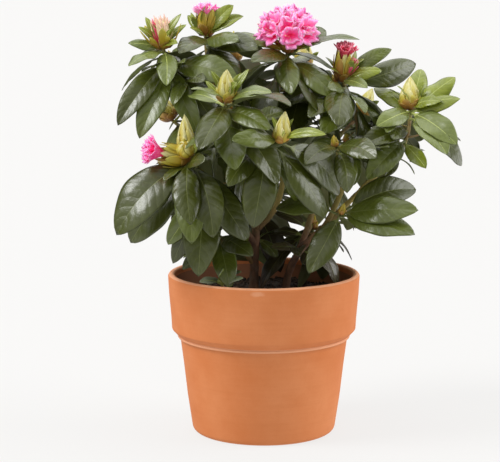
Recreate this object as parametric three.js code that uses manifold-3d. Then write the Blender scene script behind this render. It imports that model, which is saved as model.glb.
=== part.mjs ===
// A rhododendron shrub in a plain clay pot: pot, compost, two woody stems with their boughs,
// and leafy shoots that end in flower buds or open trusses. Millimetres, +Z up.
// The origin is the centre of the pot's flat underside, and -Y is the side it is shown from.
import * as THREE from 'three';
import { mergeVertices } from 'three/addons/utils/BufferGeometryUtils.js';
import Module from 'manifold-3d';

const wasm = await Module();
wasm.setup();

// ---- Driving dimensions -------------------------------------------------------------------
const GAP = 0.3;                 // air between pieces that touch
const POT_HEIGHT = 176;
const RIM_RADIUS = 105;          // outside of the collar's lip
const RIM_WALL = 7.5;
const COLLAR_FOOT_RADIUS = 101;  // outside of the collar at its lower edge
const COLLAR_FOOT_Z = 115;
const SHOULDER_Z = 105;          // where the collar's chamfer meets the body
const SHOULDER_RADIUS = 92.5;
const BASE_RADIUS = 79;
const BASE_ROUND = 7;
const FLOOR_THICKNESS = 12;
const LOWER_WALL = 8;
const SOIL_Z = 154;              // level of the compost, 22 below the rim
const POT_SIDES = 36;

const WOOD_SIDES = 8;
const CROTCH = Math.PI / 4;      // angle at which a limb leaves its parent's side
const LIMB_BEND = 0.42;          // how far a limb keeps its first heading, as a share of its reach
const ROOT_FLARE = 1.6;          // trunk radius at the compost over trunk radius above the flare
const FLARE_HEIGHT = 13;
const ROOTED_STATIONS = [0, 0.05, 0.1, 0.22, 0.36, 0.52, 0.68, 0.84, 1];
const STEM_SIDES = 5;
const STEM_RADII = [2.5, 1.9];   // a leafy stem at its foot and under its bud
const STEM_LEAST = 0.04;         // no leaf springs below this share of the stem
const SCREW = 22;                // stretch of stem over which the leaves set by rule spiral down
const SCREW_TOP = 2;             // its start below the stem's tip

const LEAF_ASPECT = 0.35;        // blade width over leaf length
const LEAF_THICKNESS = 0.014;    // of the leaf's length
const PETIOLE_SHARE = 0.13;      // of the leaf's length
const PETIOLE_RADIUS = 1;
const LEAF_CHORD = 0.95;         // straight reach over length of an arched leaf
const LEAF_ARCH = 0.26;          // lift of the curve's control point over the chord
const LEAF_LEAN = { named: 1.2, byRule: 0.75 };  // how far a leaf's face leans out, against up
const RULE_LENGTH = 70;          // of a leaf set by rule at either end of its spiral
const RULE_SWELL = 26;           // by which the leaves in the middle of the spiral are longer
const RULE_SPREAD = 14;          // most that chance adds to a leaf's length, and to its dip
const CLEARANCE = 0.45;          // kept round a leaf when it is set among its neighbours
const TWIG_SPACING = 20;         // side twigs down a shoot's stem
const TWIG_LENGTH = 30;
const TWIG_SIDES = 3;
const TWIG_RADII = [1.6, 1.2];
const TWIG_LEAVES = 3;
const TWIG_LEAF = [58, 80];      // least and greatest length
const GOLDEN_ANGLE = Math.PI * (3 - Math.sqrt(5));
const CROWN_CENTRE = [20, 25, 300];
const CROWN_REACH = [152, 170, 178];  // half sizes of the space that leaves set by rule keep to
const SEED = 41;

// Woody limbs: parent, place along the parent (1 is its tip), end point, start and end radius.
const LIMBS = {
  trunk: { foot: [-11, -4], end: [-8, 0, 234], radii: [5.2, 4.4] },
  stem_right: { foot: [24, -8], end: [68, -56, 236], radii: [4.4, 3.4] },
  bough_left: { on: 'trunk', at: 0.7, end: [-46, -36, 266], radii: [3.4, 2.8] },
  bough_upper_left: { on: 'trunk', at: 1, end: [-70, 0, 350], radii: [4, 2.9] },
  bough_front: { on: 'trunk', at: 0.9, end: [-12, -52, 292], radii: [3.3, 2.7] },
  bough_centre: { on: 'trunk', at: 0.88, end: [16, 4, 336], radii: [3.4, 2.7] },
  bough_back: { on: 'trunk', at: 0.84, end: [-6, 62, 306], radii: [3.4, 2.7] },
  bough_back_left: { on: 'trunk', at: 0.62, end: [-52, 42, 280], radii: [3.4, 2.7] },
  bough_upper_right: { on: 'stem_right', at: 0.94, end: [99, -20, 318], radii: [3, 2.6] },
  bough_right: { on: 'stem_right', at: 0.82, end: [140, -30, 306], radii: [3, 2.6] },
  bough_back_right: { on: 'stem_right', at: 0.52, end: [68, 48, 290], radii: [3.4, 2.7] },
};

// Shoots. tip is where the leaves and the bud spring from. A leaf is given by how far its tip
// lies from the shoot's tip across (x) and up (z), its length, 1 if it reaches forward or -1
// back, how far down the stem it grows, and its turn about its own midrib in degrees.
// whorl is how many more leaves the shoot bears by rule, from heading (degrees) round,
// dips how far the first and the last of them hang, scale their size, and twigs its side twigs.
// lean tips its flower head over (x, y) against the stem's own heading.
const SHOOTS = {
  foliage_left: {
    on: 'bough_left', at: 1, tip: [-81, -70, 309], head: 'cluster',
    leaves: [
      [-73, -78, 116, 1, 6, 0], [-61, -92, 108, 1, 22, 0], [6, -84, 98, 1, 9, 0],
      [5, -63, 88, 1, 2, 0], [36, -78, 96, 1, 6, 0], [12, -122, 112, 1, 40, 0],
      [-22, -96, 66, 1, 48, 0], [-17, -117, 74, 1, 54, 0], [14, 18, 30, 1, 0, 0],
    ],
    whorl: 4, heading: 60,
  },
  foliage_upper_left: {
    on: 'bough_upper_left', at: 1, tip: [-108, -15, 422], head: 'opening',
    leaves: [
      [-34, -18, 62, 1, 6, 20], [-48, -50, 80, -1, 10, 45], [-46, -80, 100, 1, 14, 0],
      [-23, -93, 102, 1, 18, 0], [6, -38, 66, 1, 5, 0], [31, -90, 98, 1, 16, 0],
      [80, -32, 92, 1, 20, 0], [-37, -2, 42, 1, 1, 0], [-28, -12, 36, -1, 3, 0],
      [17, 5, 34, 1, 1, 0],
    ],
    whorl: 4, heading: 40,
  },
  foliage_top_left: {
    on: 'bough_upper_left', at: 0.9, tip: [-64, 25, 434], head: 'opening',
    leaves: [
      [-26, -18, 74, 1, 6, 0], [37, -5, 78, 1, 8, 0], [58, -14, 84, 1, 14, 0],
      [31, 32, 48, 1, 1, 0], [42, 20, 50, 1, 2, 0], [-16, 8, 30, 1, 2, 0],
    ],
    whorl: 6, heading: 20,
  },
  foliage_top: {
    on: 'bough_centre', at: 1, tip: [26, 0, 418], head: 'truss',
    leaves: [
      [-50, -10, 74, 1, 6, 0], [2, -44, 74, 1, 4, 0], [76, 12, 88, 1, 8, -40],
      [50, -50, 84, 1, 12, 0], [42, 20, 62, -1, 4, 0], [-52, 18, 68, -1, 8, 30],
    ],
    whorl: 5, heading: 30,
  },
  foliage_upper_right: {
    on: 'bough_upper_right', at: 1, tip: [83, -5, 388], head: 'opening', lean: [0.7, -0.5],
    leaves: [
      [55, 31, 68, -1, 3, 0], [43, 9, 48, 1, 2, 0], [32, -8, 46, 1, 3, 0],
      [84, 14, 96, -1, 8, 15], [-46, -38, 78, 1, 14, 0], [-20, -66, 80, 1, 22, 0],
    ],
    whorl: 5, heading: 100,
  },
  foliage_right: {
    on: 'bough_right', at: 1, tip: [156, -20, 357], head: 'bud',
    leaves: [
      [-39, -15, 64, 1, 3, 0], [45, -34, 78, 1, 4, 0], [34, -44, 78, 1, 9, 0],
      [14, -60, 48, 1, 36, 0], [-50, -70, 82, 1, 32, 0], [15, 40, 62, -1, 3, 0],
      [49, 33, 66, -1, 4, 0], [51, 12, 62, 1, 6, 0], [31, 10, 44, 1, 1, 0],
      [64, -67, 108, -1, 14, 0], [-36, 20, 62, -1, 8, 0], [-56, -36, 74, 1, 22, 0],
    ],
    whorl: 3, heading: 60,
  },
  foliage_centre_left: {
    on: 'bough_front', at: 0.86, tip: [-40, -95, 371], head: 'bud',
    leaves: [
      [-35, 14, 54, 1, 2, 25], [47, 10, 64, 1, 4, -15], [66, -3, 86, 1, 9, -45],
      [-31, 2, 60, -1, 7, 0], [-26, -45, 88, 1, 6, 0], [45, -27, 74, 1, 12, 0],
      [12, 20, 30, 1, 0, 0], [10, -66, 88, 1, 22, 0],
    ],
    whorl: 4, heading: 50,
  },
  foliage_front: {
    on: 'bough_front', at: 1, tip: [16, -120, 331], head: 'bud', lean: [-0.35, 0.5],
    leaves: [
      [-50, 5, 66, 1, 3, 0], [45, 10, 60, 1, 2, 0], [63, -60, 106, -1, 5, 0],
      [-54, -44, 72, 1, 34, 0], [-25, -80, 92, 1, 22, 0], [20, -70, 90, -1, 26, 0],
    ],
    whorl: 4, heading: 70,
  },
  foliage_lower_right: {
    on: 'stem_right', at: 1, tip: [81, -75, 252], head: 'tip',
    leaves: [
      [81, 20, 96, -1, 1, 0], [77, 7, 92, 1, 4, 0], [73, -17, 96, 1, 7, 0],
      [-36, -57, 84, 1, 3, 0], [-68, -2, 86, -1, 5, 0], [8, -26, 52, -1, 8, 0],
    ],
    whorl: 2, heading: 60,
  },
  foliage_inner_right: {
    on: 'bough_upper_right', at: 0.5, tip: [74, -66, 322], head: 'tip',
    leaves: [[40, -8, 74, 1, 4, 0], [-44, -14, 76, 1, 6, 0], [10, -44, 72, 1, 8, 0]],
    whorl: 5, heading: 40,
  },
  foliage_low_left: {
    on: 'trunk', at: 0.42, tip: [-52, -34, 222], head: 'tip',
    leaves: [[16, -50, 74, 1, 3, 0], [40, -14, 72, 1, 6, 0], [-34, -30, 70, 1, 4, 0]],
    whorl: 4, heading: 40,
  },
  foliage_back_left: {
    on: 'bough_back_left', at: 1, tip: [-104, 66, 338], head: 'bud', whorl: 8, twigs: 2, heading: 0,
  },
  foliage_low_back_left: {
    on: 'bough_back_left', at: 0.7, tip: [-74, 100, 272], head: 'tip', whorl: 7, heading: 30,
  },
  foliage_back: {
    on: 'bough_back', at: 1, tip: [0, 132, 330], head: 'opening', whorl: 7, twigs: 2, heading: 10,
  },
  foliage_top_back: {
    on: 'bough_back', at: 0.8, tip: [-34, 84, 402], head: 'bud', whorl: 7, twigs: 2, heading: 50,
  },
  foliage_top_back_right: {
    on: 'bough_centre', at: 0.8, tip: [44, 70, 396], head: 'bud', whorl: 7, twigs: 2, heading: 20,
  },
  foliage_back_right: {
    on: 'bough_back_right', at: 1, tip: [110, 92, 340], head: 'bud', whorl: 8, twigs: 2, heading: 80,
  },
  foliage_low_back_right: {
    on: 'bough_back_right', at: 0.72, tip: [66, 132, 284], head: 'tip', whorl: 7, heading: 0,
  },
  foliage_far_right: {
    on: 'bough_right', at: 0.62, tip: [136, 50, 304], head: 'tip', whorl: 7, heading: 0,
  },
  foliage_low_back: {
    on: 'bough_back', at: 0.3, tip: [-14, 62, 236], head: 'tip', whorl: 7, heading: 20,
    dips: [30, 74], scale: 0.85,
  },
  foliage_low_right: {
    on: 'stem_right', at: 0.36, tip: [54, 26, 226], head: 'tip', whorl: 7, heading: 0,
    dips: [24, 70], scale: 0.8,
  },
};

// ---- Materials ----------------------------------------------------------------------------
const material = (color, roughness) => new THREE.MeshStandardMaterial({
  color, roughness, metalness: 0,
});
const CLAY = 0xc8774a;
const COMPOST = 0x241708;
const BARK = 0x4a3524;
const FOLIAGE = 0x3c4620;

// ---- Closed shapes ------------------------------------------------------------------------
const vec = (p) => new THREE.Vector3(...p);

// A body through rings of equal count. A ring of one point closes an end to a tip.
function loft(rings) {
  const points = rings.flat();
  const starts = rings.map((ring, i) => rings.slice(0, i).flat().length);
  const index = [];
  for (let i = 0; i + 1 < rings.length; i++) {
    const [a, b] = [rings[i], rings[i + 1]];
    const count = Math.max(a.length, b.length);
    for (let k = 0; k < count; k++) {
      const n = (k + 1) % count;
      const [a0, a1] = a.length > 1 ? [starts[i] + k, starts[i] + n] : [starts[i], starts[i]];
      const [b0, b1] = b.length > 1 ? [starts[i + 1] + k, starts[i + 1] + n]
        : [starts[i + 1], starts[i + 1]];
      if (a.length > 1) index.push(a0, a1, b0);
      if (b.length > 1) index.push(a1, b1, b0);
    }
  }
  const first = rings[0];
  for (let k = 1; k + 1 < first.length; k++) index.push(0, k + 1, k);
  const last = rings[rings.length - 1];
  const s = starts[rings.length - 1];
  for (let k = 1; k + 1 < last.length; k++) index.push(s, s + k, s + k + 1);
  return toSolid(new Float32Array(points.flatMap((p) => p.toArray())), new Uint32Array(index));
}

function toSolid(vertProperties, triVerts) {
  return new wasm.Manifold(new wasm.Mesh({ numProp: 3, vertProperties, triVerts }));
}

function toGeometry(solid) {
  const mesh = solid.getMesh();
  const geometry = new THREE.BufferGeometry();
  geometry.setAttribute('position', new THREE.BufferAttribute(mesh.vertProperties, 3));
  geometry.setIndex(new THREE.BufferAttribute(mesh.triVerts, 1));
  return geometry;
}

// Two unit vectors square to a direction, the first as level as can be.
function crossAxes(direction) {
  const level = new THREE.Vector3(0, 0, 1).cross(direction);
  if (level.length() < 1e-3) level.set(1, 0, 0);
  level.normalize();
  return [level, direction.clone().cross(level)];
}

function ringAt(centre, direction, radius, sides) {
  const [u, v] = crossAxes(direction);
  return Array.from({ length: sides }, (_, k) => {
    const a = (2 * Math.PI * k) / sides;
    return centre.clone().addScaledVector(u, radius * Math.cos(a))
      .addScaledVector(v, radius * Math.sin(a));
  });
}

// A tapering round limb along a curve, square cut at both ends.
function taperedTube(curve, radiusAt, stations, sides) {
  return loft(stations.map((t) => ringAt(curve.getPoint(t), curve.getTangent(t),
    radiusAt(t), sides)));
}

const steps = (count) => Array.from({ length: count + 1 }, (_, i) => i / count);

// ---- Pot and compost ----------------------------------------------------------------------
const arcPoints = (cx, cz, radius, from, to, count) => steps(count).map((t) => {
  const a = THREE.MathUtils.degToRad(from + (to - from) * t);
  return new THREE.Vector2(cx + radius * Math.cos(a), cz + radius * Math.sin(a));
});

// The pot's inner wall, from the rim down to the floor.
const innerWall = [
  [RIM_RADIUS - RIM_WALL, POT_HEIGHT - RIM_WALL / 2],
  [COLLAR_FOOT_RADIUS - RIM_WALL, COLLAR_FOOT_Z + 20],
  [SHOULDER_RADIUS - LOWER_WALL, SHOULDER_Z - 8],
  [BASE_RADIUS - LOWER_WALL, FLOOR_THICKNESS],
];

function innerRadius(z) {
  const i = innerWall.findIndex(([, wz], k) => k > 0 && z >= wz);
  const [[r0, z0], [r1, z1]] = [innerWall[i - 1], innerWall[i]];
  return r0 + ((r1 - r0) * (z - z0)) / (z1 - z0);
}

function lathe(profile) {
  const geometry = new THREE.LatheGeometry(profile, POT_SIDES);
  geometry.rotateX(Math.PI / 2);
  geometry.deleteAttribute('normal');
  geometry.deleteAttribute('uv');
  return mergeVertices(geometry, 1e-4);
}

function potGeometry() {
  const lip = RIM_WALL / 2;
  const profile = [
    new THREE.Vector2(0, 0),
    ...arcPoints(BASE_RADIUS - BASE_ROUND, BASE_ROUND, BASE_ROUND, -90, 0, 2),
    new THREE.Vector2(SHOULDER_RADIUS, SHOULDER_Z),
    new THREE.Vector2(COLLAR_FOOT_RADIUS, COLLAR_FOOT_Z),
    new THREE.Vector2(RIM_RADIUS - 1.2, POT_HEIGHT - 22),
    ...arcPoints(RIM_RADIUS - lip, POT_HEIGHT - lip, lip, 0, 180, 4),
    ...innerWall.slice(1).map(([r, z]) => new THREE.Vector2(r, z)),
    new THREE.Vector2(0, FLOOR_THICKNESS),
  ];
  return lathe(profile);
}

function soilGeometry() {
  const edgeZ = SOIL_Z - 2;
  const foot = FLOOR_THICKNESS + GAP;
  const profile = [
    new THREE.Vector2(0, foot),
    new THREE.Vector2(innerRadius(foot) - 2 * GAP, foot),
    ...innerWall.slice(1, -1).reverse().map(([r, z]) => new THREE.Vector2(r - 2 * GAP, z)),
    new THREE.Vector2(innerRadius(edgeZ) - 2 * GAP, edgeZ),
    new THREE.Vector2(0.8 * innerRadius(edgeZ), SOIL_Z),
    new THREE.Vector2(0, SOIL_Z),
  ];
  return lathe(profile);
}

// ---- Limbs --------------------------------------------------------------------------------
// Where a child limb starts on its parent and which way it sets off.
function springing(parent, at, end, radius) {
  const on = parent.curve.getPoint(at);
  const along = parent.curve.getTangent(at);
  if (at === 1) return { start: on.addScaledVector(along, GAP), along };
  const out = end.clone().sub(on);
  out.addScaledVector(along, -out.dot(along)).normalize();
  const away = out.multiplyScalar(Math.sin(CROTCH)).addScaledVector(along, Math.cos(CROTCH));
  const parentRadius = parent.radiusAt(at);
  const reach = (parentRadius + GAP + radius * Math.cos(CROTCH)) / Math.sin(CROTCH);
  return { start: on.addScaledVector(away, reach), along: away };
}

function growLimb(limb, parent, sides, stations) {
  const end = vec(limb.end);
  const [r0, r1] = limb.radii;
  const rooted = !parent;
  const { start, along } = rooted
    ? { start: new THREE.Vector3(...limb.foot, SOIL_Z + GAP), along: new THREE.Vector3(0, 0, 1) }
    : springing(parent, limb.at, end, r0);
  const bend = start.clone().addScaledVector(along, LIMB_BEND * start.distanceTo(end));
  const curve = new THREE.QuadraticBezierCurve3(start, bend, end);
  const length = curve.getLength();
  const aboveFlare = (t) => Math.max(0, 1 - (t * length) / FLARE_HEIGHT);
  const flare = (t) => (rooted ? (ROOT_FLARE - 1) * aboveFlare(t) ** 2 : 0);
  const radiusAt = (t) => (r0 + (r1 - r0) * t) * (1 + flare(t));
  return { curve, radiusAt, length, solid: taperedTube(curve, radiusAt, stations, sides) };
}

// ---- Leaves -------------------------------------------------------------------------------
// Sections of the blade: place along the leaf, and half-width as a share of the widest.
const BLADE = { named: [[0.4, 0.97], [0.72, 0.84]], byRule: [[0.5, 1]] };

// side and lift hold the leaf's own level and upper directions.
function leafFrame({ foot, tip, turn, named }) {
  const chord = tip.clone().sub(foot);
  const along = chord.clone().normalize();
  const outward = named ? new THREE.Vector3(0, -LEAF_LEAN.named, 0)
    : new THREE.Vector3(tip.x - CROWN_CENTRE[0], tip.y - CROWN_CENTRE[1], 0)
      .setLength(LEAF_LEAN.byRule);
  const face = new THREE.Vector3(0, 0, 1).add(outward);
  face.addScaledVector(along, -face.dot(along)).normalize();
  face.applyAxisAngle(along, THREE.MathUtils.degToRad(turn));
  return { chord, along, lift: face, side: along.clone().cross(face) };
}

// One leaf as a closed blade, ridged along its midrib. extra thickens it for a clearance test,
// and from leaves off its petiole.
function leafSolid(leaf, extra = 0, from = 0) {
  const { foot, tip, length, named } = leaf;
  const { chord, lift, side } = leafFrame(leaf);
  const middle = foot.clone().addScaledVector(chord, 0.5)
    .addScaledVector(lift, LEAF_ARCH * chord.length());
  const curve = new THREE.QuadraticBezierCurve3(foot, middle, tip);
  const half = 0.5 * LEAF_ASPECT * length;
  const thick = LEAF_THICKNESS * length;
  const stations = [[0, 0], [PETIOLE_SHARE, 0], ...(named ? BLADE.named : BLADE.byRule)]
    .filter(([t]) => t >= from);
  const rings = stations.map(([t, share]) => {
    const centre = curve.getPoint(t);
    const normal = side.clone().cross(curve.getTangent(t));
    const wide = Math.max(PETIOLE_RADIUS, half * share) + extra;
    const at = (across, up) => centre.clone().addScaledVector(side, across)
      .addScaledVector(normal, up);
    return [at(0, thick + extra), at(wide, -extra), at(-wide, -extra)];
  });
  return loft([...rings, [tip.clone()]]);
}

// Other ways to set a leaf that would touch its neighbours: turned and raised a little.
const RESETS = [[0, 0], [10, 0], [-10, 0], [0, 10], [0, -10], [18, 6], [-18, 6], [14, -12],
  [-14, -12], [28, 0], [-28, 0]];

function resetTip(foot, tip, [turn, raise]) {
  const reach = tip.clone().sub(foot);
  reach.applyAxisAngle(new THREE.Vector3(0, 0, 1), THREE.MathUtils.degToRad(turn));
  const [level] = crossAxes(reach.clone().normalize());
  reach.applyAxisAngle(level, THREE.MathUtils.degToRad(-raise));
  return reach.add(foot);
}

// ---- Flower heads -------------------------------------------------------------------------
// A round body about an axis, from radius and height pairs.
function turned(base, axis, profile, sides) {
  return loft(profile.map(([r, h]) => {
    const centre = base.clone().addScaledVector(axis, h);
    return r === 0 ? [centre] : ringAt(centre, axis, r, sides);
  }));
}

const SUNK = 2;                  // depth of a bud's foot in its stem
const BUD = { radius: 10.5, height: 34 };
const TALL_BUD = { radius: 9.5, height: 41, lift: 4 };
const SIDE_BUD = { radius: 7.5, height: 17, lift: 3 };
const BLOOM_BUD = { radius: 13, height: 46 };
const REST_BUD = { radius: 3.4, height: 10 };
const OPENING = { radius: 13, height: 32, scales: 5, scaleLength: 30 };
const TRUSS = { radius: 26, height: 42, florets: 12, floretLength: 15, floretRadius: 9 };

// A pointed flower bud, a bud that opens at its top, and a small resting bud.
const budProfile = ({ radius: r, height: h }) => [[0, -SUNK], [0.45 * r, 0], [0.95 * r, 0.3 * h],
  [0.9 * r, 0.52 * h], [0.5 * r, 0.82 * h], [0, h]];
const bloomProfile = ({ radius: r, height: h }) => [[0, -SUNK], [0.45 * r, 0], [0.85 * r, 0.36 * h],
  [r, 0.74 * h], [0.78 * r, h], [0, 0.94 * h]];
const restProfile = ({ radius: r, height: h }) => [[0, -SUNK], [r, 0.4 * h], [0, h]];

const restBud = (tip, axis) => turned(tip, axis, restProfile(REST_BUD), 5);

function openingHead(base, axis, random) {
  const { scales, scaleLength } = OPENING;
  const [u, v] = crossAxes(axis);
  const around = Array.from({ length: scales }, (_, k) => {
    const a = (2 * Math.PI * (k + 0.5 * random())) / scales;
    const spread = 0.62 + 0.25 * random();
    const out = u.clone().multiplyScalar(Math.cos(a)).addScaledVector(v, Math.sin(a));
    const tip = base.clone().addScaledVector(out, spread * scaleLength)
      .addScaledVector(axis, 0.8 * scaleLength);
    return leafSolid({ foot: base, tip, length: scaleLength, turn: 0 });
  });
  return [turned(base, axis, bloomProfile(OPENING), 8), ...around];
}

// A dome of flared florets that stand out of a round heart.
function trussHead(base, axis, random) {
  const { radius: r, height: h, florets, floretLength, floretRadius } = TRUSS;
  const middle = base.clone().addScaledVector(axis, 0.42 * h);
  const heart = turned(base, axis, [[0, -SUNK], [0.28 * r, 0], [0.82 * r, 0.2 * h],
    [0.95 * r, 0.45 * h], [0.66 * r, 0.72 * h], [0, 0.84 * h]], 8);
  const [u, v] = crossAxes(axis);
  const dome = Array.from({ length: florets }, (_, k) => {
    const up = 0.95 - (1.25 * (k + 0.5)) / florets;
    const a = k * GOLDEN_ANGLE + 0.4 * random();
    const level = Math.sqrt(1 - up * up);
    const out = u.clone().multiplyScalar(level * Math.cos(a))
      .addScaledVector(v, level * Math.sin(a)).addScaledVector(axis, up);
    const throat = middle.clone().addScaledVector(out, 0.6 * r - 2 * Math.max(0, up));
    const mouth = floretRadius * (0.85 + 0.3 * random());
    return turned(throat, out, [[0, -3], [2.5, 0], [mouth, floretLength],
      [0, 0.8 * floretLength]], 5);
  });
  return [heart, ...dome];
}

// A tall bud with a round one in front of it and one that breaks into bloom beside it.
function clusterHead(base) {
  const upright = new THREE.Vector3(-0.05, 0, 1).normalize();
  const forward = new THREE.Vector3(0.1, -1, 0.75).normalize();
  const leftward = new THREE.Vector3(-0.95, -0.3, 0.1).normalize();
  const raised = (axis, lift) => base.clone().addScaledVector(axis, lift);
  return [
    turned(raised(upright, TALL_BUD.lift), upright, budProfile(TALL_BUD), 8),
    turned(raised(forward, SIDE_BUD.lift), forward, budProfile(SIDE_BUD), 8),
    turned(base, leftward, bloomProfile(BLOOM_BUD), 8),
  ];
}

function headParts(kind, tip, axis, random) {
  if (kind === 'bud') return [turned(tip, axis, budProfile(BUD), 8)];
  if (kind === 'opening') return openingHead(tip, axis, random);
  if (kind === 'truss') return trussHead(tip, axis, random);
  return kind === 'cluster' ? clusterHead(tip) : [restBud(tip, axis)];
}

// ---- Shoots -------------------------------------------------------------------------------
function seededRandom(seed) {
  let state = seed >>> 0;
  return () => {
    state = (Math.imul(state, 1664525) + 1013904223) >>> 0;
    return state / 4294967296;
  };
}

// A unit vector at a bearing about the upright and a rise above the level, in radians.
const towards = (bearing, rise) => new THREE.Vector3(Math.cos(bearing) * Math.cos(rise),
  Math.sin(bearing) * Math.cos(rise), Math.sin(rise));

// The leaves that the table names, then those that the shoot bears by rule: a spiral down the
// stem, the upper ones near level and the lower ones hanging.
function shootLeaves(shoot, stem, random) {
  const footAt = (below) => stem.curve.getPoint(Math.max(STEM_LEAST, 1 - below / stem.length));
  const named = (shoot.leaves ?? []).map(([dx, dz, length, forward, below, turn]) => {
    const foot = footAt(below);
    const reach = new THREE.Vector3(shoot.tip[0] + dx - foot.x, 0, shoot.tip[2] + dz - foot.z);
    const rest = (LEAF_CHORD * length) ** 2 - reach.lengthSq();
    reach.y = -forward * Math.sqrt(Math.max(0, rest));
    return { foot, tip: foot.clone().add(reach), length, turn, named: true };
  });
  const [level, hanging] = shoot.dips ?? [8, 60];
  const byRule = Array.from({ length: shoot.whorl }, (_, k) => {
    const a = THREE.MathUtils.degToRad(shoot.heading) + k * GOLDEN_ANGLE + 0.35 * random();
    const share = (k + 0.5) / shoot.whorl;
    const dip = level + (hanging - level) * share + RULE_SPREAD * random();
    const length = (RULE_LENGTH + RULE_SWELL * Math.sin(Math.PI * share)
      + RULE_SPREAD * random()) * (shoot.scale ?? 1);
    const foot = footAt(SCREW_TOP + SCREW * share);
    const along = towards(a, THREE.MathUtils.degToRad(-dip));
    const tip = foot.clone().addScaledVector(along, LEAF_CHORD * length);
    return { foot, tip, length, turn: 16 * (random() - 0.5) };
  });
  return [...named, ...byRule];
}

// Side twigs branch from a shoot's stem below its leaves, rise a little and end in a resting
// bud among a few smaller leaves.
function sideTwigs(shoot, stem, random) {
  return Array.from({ length: shoot.twigs ?? 1 }, (_, k) => {
    const below = TWIG_SPACING * (k + 1.3);
    const foot = stem.curve.getPoint(Math.max(3 * STEM_LEAST, 1 - below / stem.length));
    const a = THREE.MathUtils.degToRad(shoot.heading + 30) + 2.2 * k + 0.6 * random();
    const length = TWIG_LENGTH * (0.8 + 0.4 * random());
    const end = foot.clone().addScaledVector(towards(a, 0.3 + 0.4 * random()), length);
    const bend = foot.clone().addScaledVector(towards(a, 0.1), 0.5 * length);
    const curve = new THREE.QuadraticBezierCurve3(foot, bend, end);
    const leaves = Array.from({ length: TWIG_LEAVES }, (_, j) => {
      const round = a + (2 * Math.PI * (j + 0.5)) / TWIG_LEAVES + 0.5 * random();
      const along = towards(round, -0.1 - 0.75 * random());
      const [least, most] = TWIG_LEAF;
      const size = (least + (most - least) * random()) * (shoot.scale ?? 1);
      const leafFoot = curve.getPoint(1 - 0.1 * (j + 0.5));
      const tip = leafFoot.clone().addScaledVector(along, LEAF_CHORD * size);
      return { foot: leafFoot, tip, length: size, turn: 16 * (random() - 0.5) };
    });
    const radiusAt = (t) => TWIG_RADII[0] + (TWIG_RADII[1] - TWIG_RADII[0]) * t;
    const wood = taperedTube(curve, radiusAt, steps(2), TWIG_SIDES);
    return { solids: [wood, restBud(end, curve.getTangent(1))], leaves };
  });
}

const inCrown = (tip) => tip.toArray()
  .reduce((sum, p, i) => sum + ((p - CROWN_CENTRE[i]) / CROWN_REACH[i]) ** 2, 0) < 1;

const touches = (a, b) => {
  const [p, q] = [a.boundingBox(), b.boundingBox()];
  const apart = [0, 1, 2].some((i) => p.max[i] < q.min[i] || q.max[i] < p.min[i]);
  return !apart && a.intersect(b).volume() > 1e-6;
};

// Joins a shoot's parts. A space sealed between them is filled and a loose scrap is dropped.
function fuse(parts) {
  const joined = parts.slice(1).reduce((sum, part) => sum.add(part), parts[0]);
  return joined.decompose().reduce((a, b) => (a.volume() > b.volume() ? a : b));
}

// ---- The whole plant ----------------------------------------------------------------------
const group = new THREE.Group();

function addNode(name, geometry, nodeMaterial) {
  const mesh = new THREE.Mesh(geometry, nodeMaterial);
  mesh.name = name;
  group.add(mesh);
}

addNode('pot', potGeometry(), material(CLAY, 0.85));
addNode('soil', soilGeometry(), material(COMPOST, 1));

const grown = {};
for (const [name, limb] of Object.entries(LIMBS)) {
  grown[name] = growLimb(limb, grown[limb.on], WOOD_SIDES, limb.on ? steps(5) : ROOTED_STATIONS);
  addNode(name, toGeometry(grown[name].solid), material(BARK, 0.9));
}

const shoots = Object.entries(SHOOTS).map(([name, shoot], i) => {
  const stem = growLimb({ ...shoot, end: shoot.tip, radii: STEM_RADII }, grown[shoot.on],
    STEM_SIDES, steps(3));
  const axis = stem.curve.getTangent(1).add(vec([...(shoot.lean ?? [0, 0]), 1])).normalize();
  const head = headParts(shoot.head, vec(shoot.tip), axis, seededRandom(SEED + 97 * i + 50));
  const random = seededRandom(SEED + 97 * i);
  const leaves = shootLeaves(shoot, stem, random);
  const twigs = sideTwigs(shoot, stem, random);
  return { name, leaves, twigs, parts: [stem.solid, ...head], blades: [] };
});

const asSolid = ({ attributes, index }) => toSolid(new Float32Array(attributes.position.array),
  new Uint32Array(index.array));
const standing = [asSolid(potGeometry()), asSolid(soilGeometry()),
  ...Object.values(grown).map((limb) => limb.solid)];

const clearOfOthers = (solid, one) => !standing.some((other) => touches(solid, other))
  && !shoots.some((s) => s !== one && s.parts.some((part) => touches(solid, part)));

// Sets a leaf in the first of its places where it touches no neighbour. A leaf of its own shoot
// may be crossed only by a leaf that the table names.
function setLeaf(leaf, one) {
  const tips = RESETS.map((reset) => resetTip(leaf.foot, leaf.tip, reset))
    .filter((tip) => leaf.named || inCrown(tip));
  const free = tips.filter((tip) => clearOfOthers(leafSolid({ ...leaf, tip }, CLEARANCE), one));
  const blade = (tip) => leafSolid({ ...leaf, tip }, 0, PETIOLE_SHARE);
  const tip = free.find((t) => !one.blades.some((own) => touches(blade(t), own)))
    ?? (leaf.named ? free[0] : undefined);
  if (!tip) return;
  one.parts.push(leafSolid({ ...leaf, tip }));
  one.blades.push(blade(tip));
}

for (const one of shoots) {
  for (const twig of one.twigs) {
    if (!twig.solids.every((solid) => clearOfOthers(solid, one))) continue;
    one.parts.push(...twig.solids);
    one.leaves.push(...twig.leaves);
  }
}
for (const one of shoots) {
  for (const leaf of one.leaves) setLeaf(leaf, one);
}
for (const { name, parts } of shoots) {
  addNode(name, toGeometry(fuse(parts)), material(FOLIAGE, 0.4));
}

export default group;
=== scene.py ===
import functools
import math
import random

import bmesh
import bpy
import numpy as np
from mathutils import Matrix, Vector, noise


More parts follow.
